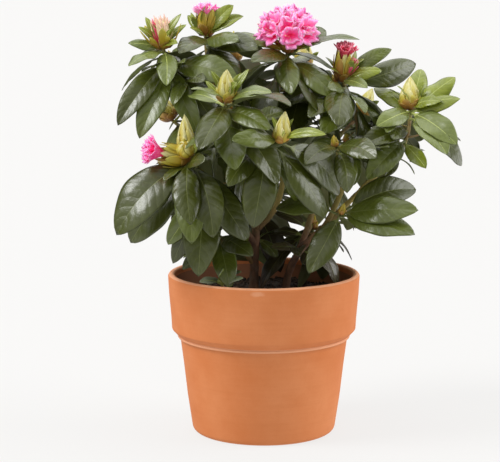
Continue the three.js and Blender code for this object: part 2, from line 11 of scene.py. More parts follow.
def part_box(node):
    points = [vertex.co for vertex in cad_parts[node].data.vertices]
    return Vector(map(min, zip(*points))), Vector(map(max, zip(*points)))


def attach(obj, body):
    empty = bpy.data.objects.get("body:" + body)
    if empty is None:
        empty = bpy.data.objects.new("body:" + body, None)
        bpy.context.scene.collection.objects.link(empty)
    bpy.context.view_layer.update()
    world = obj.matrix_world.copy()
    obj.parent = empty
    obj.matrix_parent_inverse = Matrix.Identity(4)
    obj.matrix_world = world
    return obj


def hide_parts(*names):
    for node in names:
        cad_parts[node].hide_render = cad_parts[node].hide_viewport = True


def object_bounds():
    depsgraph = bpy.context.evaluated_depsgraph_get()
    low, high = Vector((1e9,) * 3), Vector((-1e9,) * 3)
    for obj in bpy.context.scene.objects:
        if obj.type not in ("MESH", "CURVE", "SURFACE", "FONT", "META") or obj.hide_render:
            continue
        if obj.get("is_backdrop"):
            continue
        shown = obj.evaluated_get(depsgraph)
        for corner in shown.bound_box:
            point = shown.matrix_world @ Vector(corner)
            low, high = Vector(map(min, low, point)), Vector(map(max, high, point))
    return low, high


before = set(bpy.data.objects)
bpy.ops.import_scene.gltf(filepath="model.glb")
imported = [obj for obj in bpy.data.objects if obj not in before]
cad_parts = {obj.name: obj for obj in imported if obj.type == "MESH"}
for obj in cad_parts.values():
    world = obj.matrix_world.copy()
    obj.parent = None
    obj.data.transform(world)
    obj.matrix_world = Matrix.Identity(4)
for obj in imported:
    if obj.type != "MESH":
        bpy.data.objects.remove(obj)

cad_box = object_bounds()

# ---- The clay pot ----
# A machine-thrown flower pot of red clay, fired and left without a glaze. A deep collar with a
# round lip stands out over a body that narrows to the foot, and a soft ring runs under the collar.
POT_TURNS = 128
LIP_RADIUS = 0.105
WALL = 0.0075
COLLAR_FOOT = (0.101, 0.115)
SHOULDER = (0.0925, 0.105)
BEAD = 0.0015
BEAD_Z = SHOULDER[1] + 0.0016
FOOT_RADIUS = 0.079
FOOT_ROUND = 0.007
FLOOR_Z = 0.012
SOIL_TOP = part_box("soil")[1].z
RIM_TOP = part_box("pot")[1].z


def node(tree, kind, inputs=None, **settings):
    """A shader node with its settings made, and each input linked or given its value."""
    made = tree.nodes.new("ShaderNode" + kind)
    for name, value in settings.items():
        setattr(made, name, value)
    for key, value in (inputs or {}).items():
        socket = made.inputs[key]
        if isinstance(value, bpy.types.NodeSocket):
            tree.links.new(value, socket)
        else:
            socket.default_value = (*value, 1) if socket.type == "RGBA" else value
    return made


def new_finish(name, colour, **values):
    """A material, its node tree, its shader and a socket with the piece's own coordinates."""
    material = bpy.data.materials.new(name)
    material.use_nodes = True
    tree = material.node_tree
    shader = tree.nodes["Principled BSDF"]
    shader.inputs["Base Color"].default_value = (*colour, 1)
    for key, value in values.items():
        shader.inputs[key.replace("_", " ")].default_value = value
    place = node(tree, "TexCoord").outputs["Object"]
    return material, tree, shader, place


def grain(tree, place, scale, detail=4.0, roughness=0.6, stretch=(1, 1, 1)):
    """Fractal noise from 0 to 1 over the piece, drawn out along an axis by a small stretch."""
    drawn = node(tree, "Mapping", {"Vector": place, "Scale": stretch}).outputs["Vector"]
    return node(tree, "TexNoise", {"Vector": drawn, "Scale": scale, "Detail": detail,
                                   "Roughness": roughness}).outputs["Fac"]


def between(tree, factor, low, high, first, second):
    """A colour that goes from the first to the second as the factor goes from low to high."""
    ramp = node(tree, "ValToRGB", {"Fac": factor})
    ramp.color_ramp.elements[0].position, ramp.color_ramp.elements[1].position = low, high
    ramp.color_ramp.elements[0].color, ramp.color_ramp.elements[1].color = (*first, 1), (*second, 1)
    return ramp.outputs["Color"]


def fade(tree, factor, low, high, first=0, last=1):
    """A share to mix by, from the first to the last as the factor goes from low to high."""
    return between(tree, factor, low, high, (first,) * 3, (last,) * 3)


def blend_colours(tree, factor, first, second):
    """Two colours, or sockets of colour, mixed by a factor."""
    return node(tree, "Mix", {0: factor, 6: first, 7: second}, data_type="RGBA").outputs[2]


def calc(tree, operation, *values):
    """The result of one operation on numbers and sockets."""
    return node(tree, "Math", dict(enumerate(values)), operation=operation).outputs[0]


def vector_calc(tree, operation, *values):
    """The result of one operation on vectors, a number where it measures them."""
    made = node(tree, "VectorMath", dict(enumerate(values)), operation=operation)
    return made.outputs["Value" if operation in ("LENGTH", "DOT_PRODUCT") else "Vector"]


def relief(tree, shader, *layers):
    """Bumps laid one on the other, each a height socket with its strength and its depth."""
    normal = None
    for height, strength, depth in layers:
        inputs = {"Height": height, "Strength": strength, "Distance": depth}
        if normal:
            inputs["Normal"] = normal
        normal = node(tree, "Bump", inputs).outputs["Normal"]
    tree.links.new(normal, shader.inputs["Normal"])


def finish_piece(name, mesh, materials, slot, *nodes):
    """A piece from a mesh: smooth, riding on the one body, in place of the named nodes."""
    piece = bpy.data.objects.new(name, mesh)
    bpy.context.collection.objects.link(piece)
    for material in materials:
        mesh.materials.append(material)
    mesh.polygons.foreach_set("use_smooth", [True] * len(mesh.polygons))
    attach(piece, "root")
    if nodes:
        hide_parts(*nodes)


def to_mesh(bm, name):
    mesh = bpy.data.meshes.new(name)
    bm.to_mesh(mesh)
    bm.free()
    return mesh


def arc(centre, radius, start, end, count):
    """Points of an arc in the plane of the profile, with its angles in degrees."""
    angles = np.radians(np.linspace(start, end, count))
    return [(centre[0] + radius * math.cos(a), centre[1] + radius * math.sin(a)) for a in angles]


def spun(profile, turns):
    """A closed body of revolution about Z from radius and height pairs that end on the axis."""
    bm = bmesh.new()
    rim = [bm.verts.new((r, 0, z)) for r, z in profile]
    edges = [bm.edges.new(pair) for pair in zip(rim, rim[1:])]
    bmesh.ops.spin(bm, geom=rim + edges, cent=(0, 0, 0), axis=(0, 0, 1), angle=math.tau,
                   steps=turns, use_merge=True)
    bmesh.ops.remove_doubles(bm, verts=bm.verts, dist=1e-6)
    bmesh.ops.recalc_face_normals(bm, faces=bm.faces)
    return bm


pot_profile = [
    (0, 0), (FOOT_RADIUS - 0.02, 0),
    *arc((FOOT_RADIUS - FOOT_ROUND, FOOT_ROUND), FOOT_ROUND, -90, -5, 9),
    (0.084, 0.04), (0.088, 0.075), (SHOULDER[0] - 0.0012, SHOULDER[1] - 0.0045),
    (SHOULDER[0] - 0.0006, SHOULDER[1] - 0.0006),
    *arc((SHOULDER[0] + 0.0008, BEAD_Z), BEAD, -75, 72, 9),
    (SHOULDER[0] + 0.0022, BEAD_Z + 0.0017),
    *arc((COLLAR_FOOT[0] - 0.0022, COLLAR_FOOT[1] + 0.0008), 0.0022, -45, 0, 6),
    (COLLAR_FOOT[0] + 0.0006, COLLAR_FOOT[1] + 0.012), (LIP_RADIUS - 0.0010, RIM_TOP - 0.022),
    *arc((LIP_RADIUS - WALL / 2, RIM_TOP - WALL / 2), WALL / 2, -5, 185, 17),
    (LIP_RADIUS - WALL - 0.0008, RIM_TOP - 0.012), (COLLAR_FOOT[0] - WALL, COLLAR_FOOT[1] + 0.02),
    (SHOULDER[0] - 0.008, SHOULDER[1] - 0.008), (FOOT_RADIUS - 0.008, FLOOR_Z), (0, FLOOR_Z),
]
CLAY = (0.590, 0.184, 0.057)
CLAY_PALE = (0.650, 0.231, 0.086)
CLAY_DEEP = (0.500, 0.138, 0.040)
# Pale rubbed clay; on the bead and the lip it is also a painted highlight.
CLAY_WORN = (0.770, 0.395, 0.230)
# Dark wet clay, which also stands in as painted shade inside the pot.
CLAY_DAMP = (0.360, 0.150, 0.074)
WEAR = 0.75
CHIP_PLACE = (-0.0075, -0.1045, RIM_TOP - 0.0055)
CHIP_FLATNESS = (1, 1, 2.6)
CHIP_EDGE = (0.0075, 0.0095)
DAMP_ABOVE = 0.12
clay, tree, shader, place = new_finish("fired_clay", CLAY, Roughness=0.78, Specular_IOR_Level=0.25)
clouds = between(tree, grain(tree, place, 14, 5, 0.62), 0.36, 0.66, CLAY, CLAY_PALE)
drawn_lines = grain(tree, place, 30, 3, 0.5, (0.35, 0.35, 9))
colour = blend_colours(tree, fade(tree, drawn_lines, 0.35, 0.75, 0, 0.14), clouds, CLAY_DEEP)
height = node(tree, "SeparateXYZ", {0: place}).outputs["Z"]
# Pale on the bead and the lip with wear and a painted highlight, pale with wear round one chip of the
# collar, and dark inside, partly wet clay and partly painted shade.
on_bead = calc(tree, "COMPARE", height, BEAD_Z + 0.0004, 1.2 * BEAD)
on_lip = calc(tree, "GREATER_THAN", height, RIM_TOP - 0.0016)
worn = calc(tree, "MULTIPLY", calc(tree, "ADD", on_bead, on_lip), WEAR)
colour = blend_colours(tree, worn, colour, CLAY_WORN)
from_chip = vector_calc(tree, "SUBTRACT", place, CHIP_PLACE)
from_chip = vector_calc(tree, "LENGTH", vector_calc(tree, "MULTIPLY", from_chip, CHIP_FLATNESS))
ragged = calc(tree, "MULTIPLY_ADD", grain(tree, place, 260, 3), 0.006, from_chip)
colour = blend_colours(tree, fade(tree, ragged, *CHIP_EDGE, 0.5, 0), colour, CLAY_WORN)
# Inside the wall, above the compost, the clay is darker: partly wet clay, partly painted shade under
# the crown.
from_axis = vector_calc(tree, "LENGTH", vector_calc(tree, "MULTIPLY", place, (1, 1, 0)))
inside = calc(tree, "LESS_THAN", from_axis, LIP_RADIUS - WALL - 0.0003)
damp = calc(tree, "MULTIPLY", inside, calc(tree, "GREATER_THAN", height, DAMP_ABOVE))
colour = blend_colours(tree, damp, colour, CLAY_DAMP)
specks = node(tree, "TexVoronoi", {"Vector": place, "Scale": 520}).outputs["Distance"]
colour = blend_colours(tree, fade(tree, specks, 0.05, 0.2, 0.45, 0), colour, CLAY_DEEP)
tree.links.new(colour, shader.inputs["Base Color"])
relief(tree, shader, (grain(tree, place, 900, 3), 0.22, 0.0004), (drawn_lines, 0.05, 0.0012),
       (grain(tree, place, 60, 4), 0.10, 0.0015))
finish_piece("clay_pot", to_mesh(spun(pot_profile, POT_TURNS), "clay_pot"), [clay], "clay", "pot")

# ---- The compost ----
# Dark peat and bark, filled in loose and settled below the rim. Its top is uneven, and crumbs
# and flat chips of bark lie on it.
MM = 0.001
COMPOST_RADIUS = 0.0965
COMPOST_TOP_RADIUS = 0.0945
COMPOST_RINGS = 26
COMPOST_TURNS = 96
CRUMBS = 900
CHIPS = 130
CRUMB_SIZE = (1.2, 4.2)
CHIP_SIZES = ((4, 11), (2, 5), (0.8, 1.6))
CRUMBS_WITHIN = 0.092


def joined(name, blocks):
    """One mesh from blocks of points, faces and, where given, UV by point and finish by face."""
    mesh = bpy.data.meshes.new(name)
    starts = np.cumsum([0] + [len(block[0]) for block in blocks])
    points = np.concatenate([block[0] for block in blocks])
    faces = [[start + i for i in face] for start, block in zip(starts, blocks) for face in block[1]]
    mesh.from_pydata(points.tolist(), [], faces)
    if len(blocks[0]) > 2:
        owner = np.empty(len(mesh.loops), np.int32)
        mesh.loops.foreach_get("vertex_index", owner)
        uv = np.concatenate([block[2] for block in blocks])[owner].astype(np.float32)
        mesh.uv_layers.new(name="blade").data.foreach_set("uv", uv.ravel())
    if len(blocks[0]) > 3:
        kinds = np.concatenate([block[3] for block in blocks]).astype(np.int32)
        mesh.polygons.foreach_set("material_index", kinds)
    return mesh


def finish_joined(name, blocks, materials, slot, *nodes):
    """A piece of one joined mesh."""
    finish_piece(name, joined(name, blocks), materials, slot, *nodes)


def mottled_finish(name, roughness, spots, low, high, first, second, *bumps):
    """Spots of two colours, and bumps that are each a grain with its strength and its depth."""
    material, tree, shader, place = new_finish(name, first, Roughness=roughness)
    mottled = between(tree, grain(tree, place, *spots), low, high, first, second)
    tree.links.new(mottled, shader.inputs["Base Color"])
    if bumps:
        relief(tree, shader, *[(grain(tree, place, *fine), strength, depth)
                               for fine, strength, depth in bumps])
    return material


def block_of(bm):
    """The points and faces of a small bmesh shape, for a joined mesh."""
    bm.verts.ensure_lookup_table()
    points = np.array([v.co[:] for v in bm.verts])
    faces = [[v.index for v in face.verts] for face in bm.faces]
    bm.free()
    return points, faces


def compost_height(x, y):
    lumps = noise.fractal(Vector((x, y, 0.3)) * 60, 1.0, 2.0, 4)
    edge = max(0.0, math.hypot(x, y) / COMPOST_RADIUS - 0.8)
    return SOIL_TOP - 0.0012 + 0.0032 * lumps - 0.03 * edge ** 2


soil_profile = [(0, FLOOR_Z + 0.0005), (0.070, FLOOR_Z + 0.0005), (0.0842, 0.097), (0.0925, 0.134),
                (COMPOST_TOP_RADIUS, SOIL_TOP - 0.004)]
soil_profile += [(COMPOST_TOP_RADIUS * (1 - i / COMPOST_RINGS), SOIL_TOP)
                 for i in range(COMPOST_RINGS + 1)]
bm = spun(soil_profile, COMPOST_TURNS)
for vert in bm.verts:
    if vert.co.z > SOIL_TOP - 0.001:
        vert.co.z = compost_height(vert.co.x, vert.co.y)
PEAT = (0.017, 0.0085, 0.0035)
PEAT_DRY = (0.046, 0.024, 0.010)
BARK_CHIP = (0.070, 0.038, 0.018)
peat = mottled_finish("peat", 0.95, (240, 6, 0.7), 0.42, 0.72, PEAT, PEAT_DRY,
                      ((420, 6, 0.7), 0.9, 0.002))
finish_piece("compost", to_mesh(bm, "compost"), [peat], "compost", "soil")

rng = random.Random(11)
crumb_blocks = []
for k in range(CRUMBS + CHIPS):
    bm = bmesh.new()
    if k >= CRUMBS:
        bmesh.ops.create_cube(bm, size=1)
        bmesh.ops.bevel(bm, geom=bm.edges[:], offset=0.18, affect="EDGES", segments=1, profile=0.5,
                        material=-1)
        size = Vector([rng.uniform(*span) for span in CHIP_SIZES]) * MM
    else:
        bmesh.ops.create_icosphere(bm, subdivisions=1, radius=0.5)
        size = Vector([rng.uniform(*CRUMB_SIZE) * MM for _ in range(3)])
    for vert in bm.verts:
        vert.co *= 1 + 0.3 * noise.noise(vert.co * 3 + Vector((k, 0, 0)))
    radius = CRUMBS_WITHIN * math.sqrt(rng.random())
    a = rng.uniform(0, math.tau)
    x, y = radius * math.cos(a), radius * math.sin(a)
    tilt = Matrix.Rotation(rng.uniform(-0.5, 0.5), 4, "X")
    tilt = tilt @ Matrix.Rotation(rng.uniform(0, 6), 4, "Z")
    spot = Matrix.Translation((x, y, compost_height(x, y) + 0.3 * size.z))
    bmesh.ops.transform(bm, matrix=spot @ tilt @ Matrix.Diagonal((*size, 1)), verts=bm.verts)
    crumb_blocks.append(block_of(bm))
chips = mottled_finish("bark_chips", 0.9, (90, 4), 0.4, 0.65, PEAT, BARK_CHIP,
                       ((700, 4), 0.6, 0.0008))
finish_joined("crumbs", crumb_blocks, [chips], "compost")

# ---- The woody frame ----
# Two stems from one root and nine boughs, each a tapering curve that springs from its parent.
# The bark is thin, red-brown and flaking, with scars of fallen leaves. Sizes here are in millimetres.
GAP = 0.3
CROTCH = math.pi / 4
BEND = 0.42
FLARE = 0.6
FLARE_HEIGHT = 13
LIMB_STEP, LIMB_SIDES = 1.5, 14
COLLAR = 1.25
# Each limb: its parent and where on it (or else its place on the compost), its tip and its radii.
LIMBS = {
    "trunk": (None, (-11, -4), (-8, 0, 234), (5.2, 4.4)),
    "stem_right": (None, (24, -8), (68, -56, 236), (4.4, 3.4)),
    "bough_left": ("trunk", 0.7, (-46, -36, 266), (3.4, 2.8)),
    "bough_upper_left": ("trunk", 1, (-70, 0, 350), (4, 2.9)),
    "bough_front": ("trunk", 0.9, (-12, -52, 292), (3.3, 2.7)),
    "bough_centre": ("trunk", 0.88, (16, 4, 336), (3.4, 2.7)),
    "bough_back": ("trunk", 0.84, (-6, 62, 306), (3.4, 2.7)),
    "bough_back_left": ("trunk", 0.62, (-52, 42, 280), (3.4, 2.7)),
    "bough_upper_right": ("stem_right", 0.94, (99, -20, 318), (3, 2.6)),
    "bough_right": ("stem_right", 0.82, (140, -30, 306), (3, 2.6)),
    "bough_back_right": ("stem_right", 0.52, (68, 48, 290), (3.4, 2.7)),
}


def unit(v):
    return v / np.linalg.norm(v)


class Limb:
    """A limb or a leafy stem: a curve of three points, with a radius that tapers along it."""

    def __init__(self, points, radii, rooted=False, length=None):
        self.points, self.radii, self.rooted = points, radii, rooted
        walk = self.at(np.linspace(0, 1, 201))
        self.length = length or np.linalg.norm(np.diff(walk, axis=0), axis=1).sum()

    def at(self, t):
        t = np.asarray(t, float)[..., None]
        a, b, c = self.points
        return (1 - t) ** 2 * a + 2 * t * (1 - t) * b + t ** 2 * c

    def along(self, t):
        a, b, c = self.points
        return unit((1 - t) * (b - a) + t * (c - b))

    def radius(self, t):
        rise = max(0.0, 1 - t * self.length / FLARE_HEIGHT) if self.rooted else 0
        return (self.radii[0] + (self.radii[1] - self.radii[0]) * t) * (1 + FLARE * rise ** 2)

    def springing(self, at, end, radius):
        on, along = self.at(at), self.along(at)
        if at == 1:
            return on + GAP * along, along
        out = unit((end - on) - np.dot(end - on, along) * along)
        away = math.sin(CROTCH) * out + math.cos(CROTCH) * along
        reach = (self.radius(at) + GAP + radius * math.cos(CROTCH)) / math.sin(CROTCH)
        return on + reach * away, away


def sprung(parent, at, end, radii):
    """A limb that springs from its parent at a share of its length, or else from the compost."""
    end = np.array(end, float)
    if parent:
        start, along = parent.springing(at, end, radii[0])
    else:
        start, along = np.array([*at, SOIL_TOP / MM + GAP]), np.array([0, 0, 1.0])
    points = (start, start + BEND * np.linalg.norm(end - start) * along, end)
    return Limb(points, radii, rooted=not parent)


def cross_axes(direction):
    """Two unit vectors square to a direction, the first as level as can be."""
    level = np.cross([0, 0, 1.0], direction)
    level = unit(level) if np.linalg.norm(level) > 1e-3 else np.array([1.0, 0, 0])
    return level, np.cross(direction, level)


def tube_faces(rings, sides):
    """The faces of a tube of rings, which is closed flat at both ends."""
    faces = [(i * sides + k, i * sides + (k + 1) % sides, (i + 1) * sides + (k + 1) % sides,
              (i + 1) * sides + k) for i in range(rings - 1) for k in range(sides)]
    last = (rings - 1) * sides
    return faces + [tuple(range(sides))[::-1], tuple(last + k for k in range(sides))]


def skin(centres, radii, sides, swell=None):
    """A block for a round closed tube through centres, its skin moved out by swell."""
    tangents = np.gradient(centres, axis=0)
    level, _ = cross_axes(unit(tangents[0]))
    rings = []
    for i, centre in enumerate(centres):
        along = unit(tangents[i])
        level = unit(level - np.dot(level, along) * along)
        other = np.cross(along, level)
        for k in range(sides):
            a = math.tau * k / sides
            out = math.cos(a) * level + math.sin(a) * other
            r = radii[i] + (swell(centre + radii[i] * out) if swell else 0)
            rings.append(centre + r * out)
    return np.array(rings) * MM, tube_faces(len(centres), sides)


def bark_swell(point):
    """Relief of the bark: long flakes, fine cracks and a ring of scars here and there."""
    p = Vector(point)
    flakes = noise.fractal(Vector((p.x, p.y, p.z * 0.28)) * 0.55, 1.0, 2.0, 3)
    cracks = abs(noise.noise(Vector((p.x * 1.6, p.y * 1.6, p.z * 0.35))))
    scars = max(0.0, math.sin(p.z * 0.42 + 3 * noise.noise(p * 0.05))) ** 12
    return 0.34 * flakes - 0.3 * max(0, 0.14 - cracks) / 0.14 + 0.32 * scars


BARK = (0.090, 0.046, 0.026)
BARK_WARM = (0.200, 0.096, 0.048)
BARK_GREY = (0.150, 0.116, 0.082)
BARK_YOUNG = (0.300, 0.245, 0.055)
YOUNG_ABOVE = (0.215, 0.260)
bark, tree, shader, place = new_finish("bark", BARK, Roughness=0.82)
flaky = between(tree, grain(tree, place, 130, 5, 0.65, (1, 1, 0.3)), 0.38, 0.66, BARK, BARK_WARM)
patches = fade(tree, grain(tree, place, 45, 3), 0.52, 0.7, 0, 0.6)
height = node(tree, "SeparateXYZ", {0: place}).outputs["Z"]
colour = blend_colours(tree, fade(tree, height, *YOUNG_ABOVE, 0, 0.8),
                       blend_colours(tree, patches, flaky, BARK_GREY), BARK_YOUNG)
tree.links.new(colour, shader.inputs["Base Color"])
relief(tree, shader, (grain(tree, place, 420, 5, 0.65, (1, 1, 0.25)), 0.55, 0.0009))

limbs = {}
for name, (parent, at, end, radii) in LIMBS.items():
    limbs[name] = limb = sprung(limbs.get(parent), at, end, radii)
    stations = np.linspace(0, 1, max(16, int(limb.length / LIMB_STEP)))
    centres = limb.at(stations)
    radii = [limb.radius(t) for t in stations]
    if parent:
        root = limbs[parent].at(at)
        centres = np.vstack([root, 0.5 * (root + centres[0]), centres])
        collar = 1.0 if at == 1 else COLLAR
        radii = [radii[0] * collar, radii[0] * (1 + collar) / 2, *radii]
    else:
        centres = np.vstack([centres[0] - [0, 0, 2], centres])
        radii = [radii[0] * 1.1, *radii]
    block = skin(centres, radii, LIMB_SIDES, bark_swell)
    finish_joined(name + "_bark", [block], [bark], "bark", name)

# ---- The leafy shoots ----
# Green shoots of this and last year. Each springs from a bough's tip or side, bears a spiral of
# leaves under its bud, and sends out side twigs and, lower down, short leafy spurs. One small
# sucker comes up out of the compost.
GOLDEN = math.pi * (3 - math.sqrt(5))
STEM_RADII, STEM_SIDES = (2.5, 1.9), 10
TWIG_RADII, TWIG_SIDES = (1.6, 1.2), 8
KNUCKLES = 0.12
TWIG_SPACING = 20
TWIG_LENGTH = 30
TWIG_LEAVES = 3
TWIG_LEAF = (58, 80)
STEM_LEAST = 0.04
SCREW_TOP, SCREW = 2, 22
REST_BUD_HEIGHT = 10
LEAF_CHORD = 0.95
RULE_LENGTH, RULE_SWELL, RULE_SPREAD, RULE_TURN = 70, 26, 14, 16
SEED = 41
RESETS = [(0, 0), (10, 0), (-10, 0), (0, 10), (0, -10), (18, 6), (-18, 6), (14, -12), (-14, -12),
          (28, 0), (-28, 0)]
SPUR_SHARES = (0.25, 0.5, 0.7)
SPUR_RADII = (1.1, 0.8)
SPUR_LENGTH = (16, 28)
SPUR_LEAVES, SPUR_LEAF = 3, (30, 50)
INNER_ASPECT = 0.44


def plan(on, at, tip, head, whorl, heading, leaves=(), twigs=1, dips=(8, 60), scale=1,
         lean=(0, 0), broad={}, tints={}, tint=None, open=(), spurs=3, inner=()):
    """A shoot on a limb: what grows at its tip, how many leaves spiral down it, and from where."""
    return locals()


# A leaf with a place of its own: across and up from the shoot's tip, its length and how far below
# the tip it sits, then its turn and -1 for back, where those aren't 0 and 1. The numbers under
# open are leaves left out, where light falls through the crown.
SHOOTS = {
    "foliage_left": plan(
        "bough_left", 1, (-81, -70, 309), "cluster", 4, 60, broad={0: 0.43, 1: 0.39},
        tints={0: "leaves_deep", 1: "leaves_deep"}, leaves=[
            (-73, -78, 116, 6), (-61, -92, 108, 22), (6, -84, 98, 9), (5, -63, 88, 2),
            (36, -78, 96, 6), (12, -122, 112, 40), (-22, -96, 66, 48), (-17, -117, 74, 54),
            (14, 18, 30, 0)
        ]),
    "foliage_upper_left": plan(
        "bough_upper_left", 1, (-108, -15, 422), "opening", 4, 40, open=[13],
        broad={1: 0.26, 2: 0.29, 3: 0.3, 5: 0.26}, tints={0: "leaves_light", 4: "leaves_light"},
        leaves=[
            (-34, -18, 62, 6, 20), (-48, -50, 80, 10, 45, -1), (-46, -80, 100, 14),
            (-23, -93, 102, 18), (6, -38, 66, 5), (31, -90, 98, 16), (80, -32, 92, 20),
            (-37, -2, 42, 1), (-28, -12, 36, 3, 0, -1), (17, 5, 34, 1)
        ]),
    "foliage_top_left": plan(
        "bough_upper_left", 0.9, (-64, 25, 434), "opening", 6, 20, leaves=[
            (-26, -18, 74, 6), (37, -5, 78, 8), (58, -14, 84, 14), (31, 32, 48, 1),
            (42, 20, 50, 2), (-16, 8, 30, 2)
        ]),
    "foliage_top": plan(
        "bough_centre", 1, (26, 0, 418), "truss", 5, 30, broad={2: 0.27}, leaves=[
            (-50, -10, 74, 6), (2, -44, 74, 4), (76, 12, 88, 8, -40), (50, -50, 84, 12),
            (42, 20, 62, 4, 0, -1), (-52, 18, 68, 8, 30, -1)
        ]),
    "foliage_upper_right": plan(
        "bough_upper_right", 1, (83, -5, 388), "opening", 5, 100, lean=(0.7, -0.5),
        broad={0: 0.29, 3: 0.3}, open=[9], leaves=[
            (55, 31, 68, 3, 0, -1), (43, 9, 48, 2), (32, -8, 46, 3), (84, 14, 96, 8, 15, -1),
            (-46, -38, 78, 14), (-20, -66, 80, 22)
        ]),
    "foliage_right": plan(
        "bough_right", 1, (156, -20, 357), "bud", 3, 60, broad={6: 0.42, 7: 0.42, 9: 0.29},
        tints={0: "leaves_light", 1: "leaves_light", 2: "leaves_light", 3: "leaves_new"}, leaves=[
            (-39, -15, 64, 3), (45, -34, 78, 4), (34, -44, 78, 9), (14, -60, 48, 36),
            (-50, -70, 82, 32), (15, 40, 62, 3, 0, -1), (49, 33, 66, 4, 0, -1), (51, 12, 62, 6),
            (31, 10, 44, 1), (64, -67, 108, 14, 0, -1), (-36, 20, 62, 8, 0, -1), (-56, -36, 74, 22)
        ]),
    "foliage_centre_left": plan(
        "bough_front", 0.86, (-40, -95, 371), "bud", 4, 50,
        tints={0: "leaves_light", 1: "leaves_light"}, leaves=[
            (-35, 14, 54, 2, 25), (47, 10, 64, 4, -15), (66, -3, 86, 9, -45),
            (-31, 2, 60, 7, 0, -1), (-26, -45, 88, 6), (45, -27, 74, 12), (12, 20, 30, 0),
            (10, -66, 88, 22)
        ]),
    "foliage_front": plan(
        "bough_front", 1, (16, -120, 331), "bud", 4, 70, lean=(-0.35, 0.5), broad={1: 0.23},
        tints={1: "leaves_new"}, leaves=[
            (-50, 5, 66, 3), (45, 10, 60, 2), (63, -60, 106, 5, 0, -1), (-54, -44, 72, 34),
            (-25, -80, 92, 22), (20, -70, 90, 26, 0, -1)
        ]),
    "foliage_lower_right": plan(
        "stem_right", 1, (81, -75, 252), "tip", 2, 60, open=[6, 7], spurs=0, leaves=[
            (81, 20, 96, 1, 0, -1), (77, 7, 92, 4), (73, -17, 96, 7), (-36, -57, 84, 3),
            (-68, -2, 86, 5, 0, -1), (8, -26, 52, 8, 0, -1)
        ]),
    "foliage_inner_right": plan(
        "bough_upper_right", 0.5, (74, -66, 322), "tip", 5, 40, open=[7], leaves=[
            (40, -8, 74, 4), (-44, -14, 76, 6), (10, -44, 72, 8)
        ]),
    "foliage_low_left": plan(
        "trunk", 0.42, (-52, -34, 222), "tip", 4, 40, leaves=[
            (16, -50, 74, 3), (40, -14, 72, 6), (-34, -30, 70, 4)
        ]),
    "foliage_back_left": plan(
        "bough_back_left", 1, (-104, 66, 338), "bud", 8, 0, twigs=2),
    "foliage_low_back_left": plan(
        "bough_back_left", 0.7, (-74, 100, 272), "tip", 7, 30),
    "foliage_back": plan(
        "bough_back", 1, (0, 132, 330), "opening", 7, 10, twigs=2, open=[0]),
    "foliage_top_back": plan(
        "bough_back", 0.8, (-34, 84, 402), "bud", 7, 50, twigs=2),
    "foliage_top_back_right": plan(
        "bough_centre", 0.8, (44, 70, 396), "bud", 7, 20, twigs=2),
    "foliage_back_right": plan(
        "bough_back_right", 1, (110, 92, 340), "bud", 8, 80, twigs=2, open=[8, 10, 13]),
    "foliage_low_back_right": plan(
        "bough_back_right", 0.72, (66, 132, 284), "tip", 7, 0),
    "foliage_far_right": plan(
        "bough_right", 0.62, (136, 50, 304), "tip", 7, 0, open=[2, 3, 4]),
    # The two low shoots deep inside the crown bear dark brown leaves, older leaves whose darkness is
    # partly painted shade.
    "foliage_low_back": plan(
        "bough_back", 0.3, (-14, 62, 236), "tip", 7, 20, dips=(30, 74), scale=0.85,
        tint="leaves_old", inner=[(0.9, (30, -8, -12)), (0.6, (36, -14, 6))]),
    "foliage_low_right": plan(
        "stem_right", 0.36, (54, 26, 226), "tip", 7, 0, dips=(24, 70), scale=0.8, open=[2],
        tint="leaves_old", inner=[(0.8, (-38, 7, 19)), (0.6, (-42, 12, 2)), (0.95, (-30, 14, 10))]),
}


def seeded(seed):
    """Numbers from 0 to 1, always the same for one seed."""
    state = seed

    def draw():
        nonlocal state
        state = (state * 1664525 + 1013904223) % 2 ** 32
        return state / 2 ** 32
    return draw


def towards(bearing, rise):
    """A unit vector at a bearing about the upright and a rise above the level, in radians."""
    return np.array([math.cos(bearing) * math.cos(rise), math.sin(bearing) * math.cos(rise),
                     math.sin(rise)])


def turned_about(v, axis, degrees):
    a = math.radians(degrees)
    along = axis * np.dot(axis, v)
    return v * math.cos(a) + np.cross(axis, v) * math.sin(a) + along * (1 - math.cos(a))


def new_leaf(foot, tip, length, turn=0, named=False, **more):
    """A leaf by its foot, its tip and its length, turned about its midrib by degrees."""
    return {"foot": foot, "tip": tip, "length": length, "turn": turn, "named": named, **more}


def leaf_along(foot, along, length, turn, **more):
    return new_leaf(foot, foot + LEAF_CHORD * length * along, length, turn, **more)


def short_limb(foot, bearing, end, length, radii):
    """A twig or a spur, which leaves its stem nearly level at a bearing and bends to its end."""
    bend = foot + 0.5 * length * towards(bearing, 0.1)
    return Limb((foot, bend, end), radii, length=length)


def shoot_leaves(shoot, stem, draw):
    """The leaves set one by one, then those of the spiral down the stem."""
    tip = np.array(shoot["tip"], float)
    found = []
    for given in shoot["leaves"]:
        dx, dz, length, below, turn, forward = given + (0, 1)[len(given) - 4:]
        foot = stem.at(max(STEM_LEAST, 1 - below / stem.length))
        reach = np.array([tip[0] + dx - foot[0], 0, tip[2] + dz - foot[2]])
        rest = (LEAF_CHORD * length) ** 2 - reach @ reach
        reach[1] = -forward * math.sqrt(max(0, rest))
        found.append(new_leaf(foot, foot + reach, length, turn, named=True))
    level, hanging = shoot["dips"]
    for k in range(shoot["whorl"]):
        a = math.radians(shoot["heading"]) + k * GOLDEN + 0.35 * draw()
        share = (k + 0.5) / shoot["whorl"]
        dip = level + (hanging - level) * share + RULE_SPREAD * draw()
        length = (RULE_LENGTH + RULE_SWELL * math.sin(math.pi * share)
                  + RULE_SPREAD * draw()) * shoot["scale"]
        foot = stem.at(max(STEM_LEAST, 1 - (SCREW_TOP + SCREW * share) / stem.length))
        along = towards(a, -math.radians(dip))
        found.append(leaf_along(foot, along, length, RULE_TURN * (draw() - 0.5)))
    return found


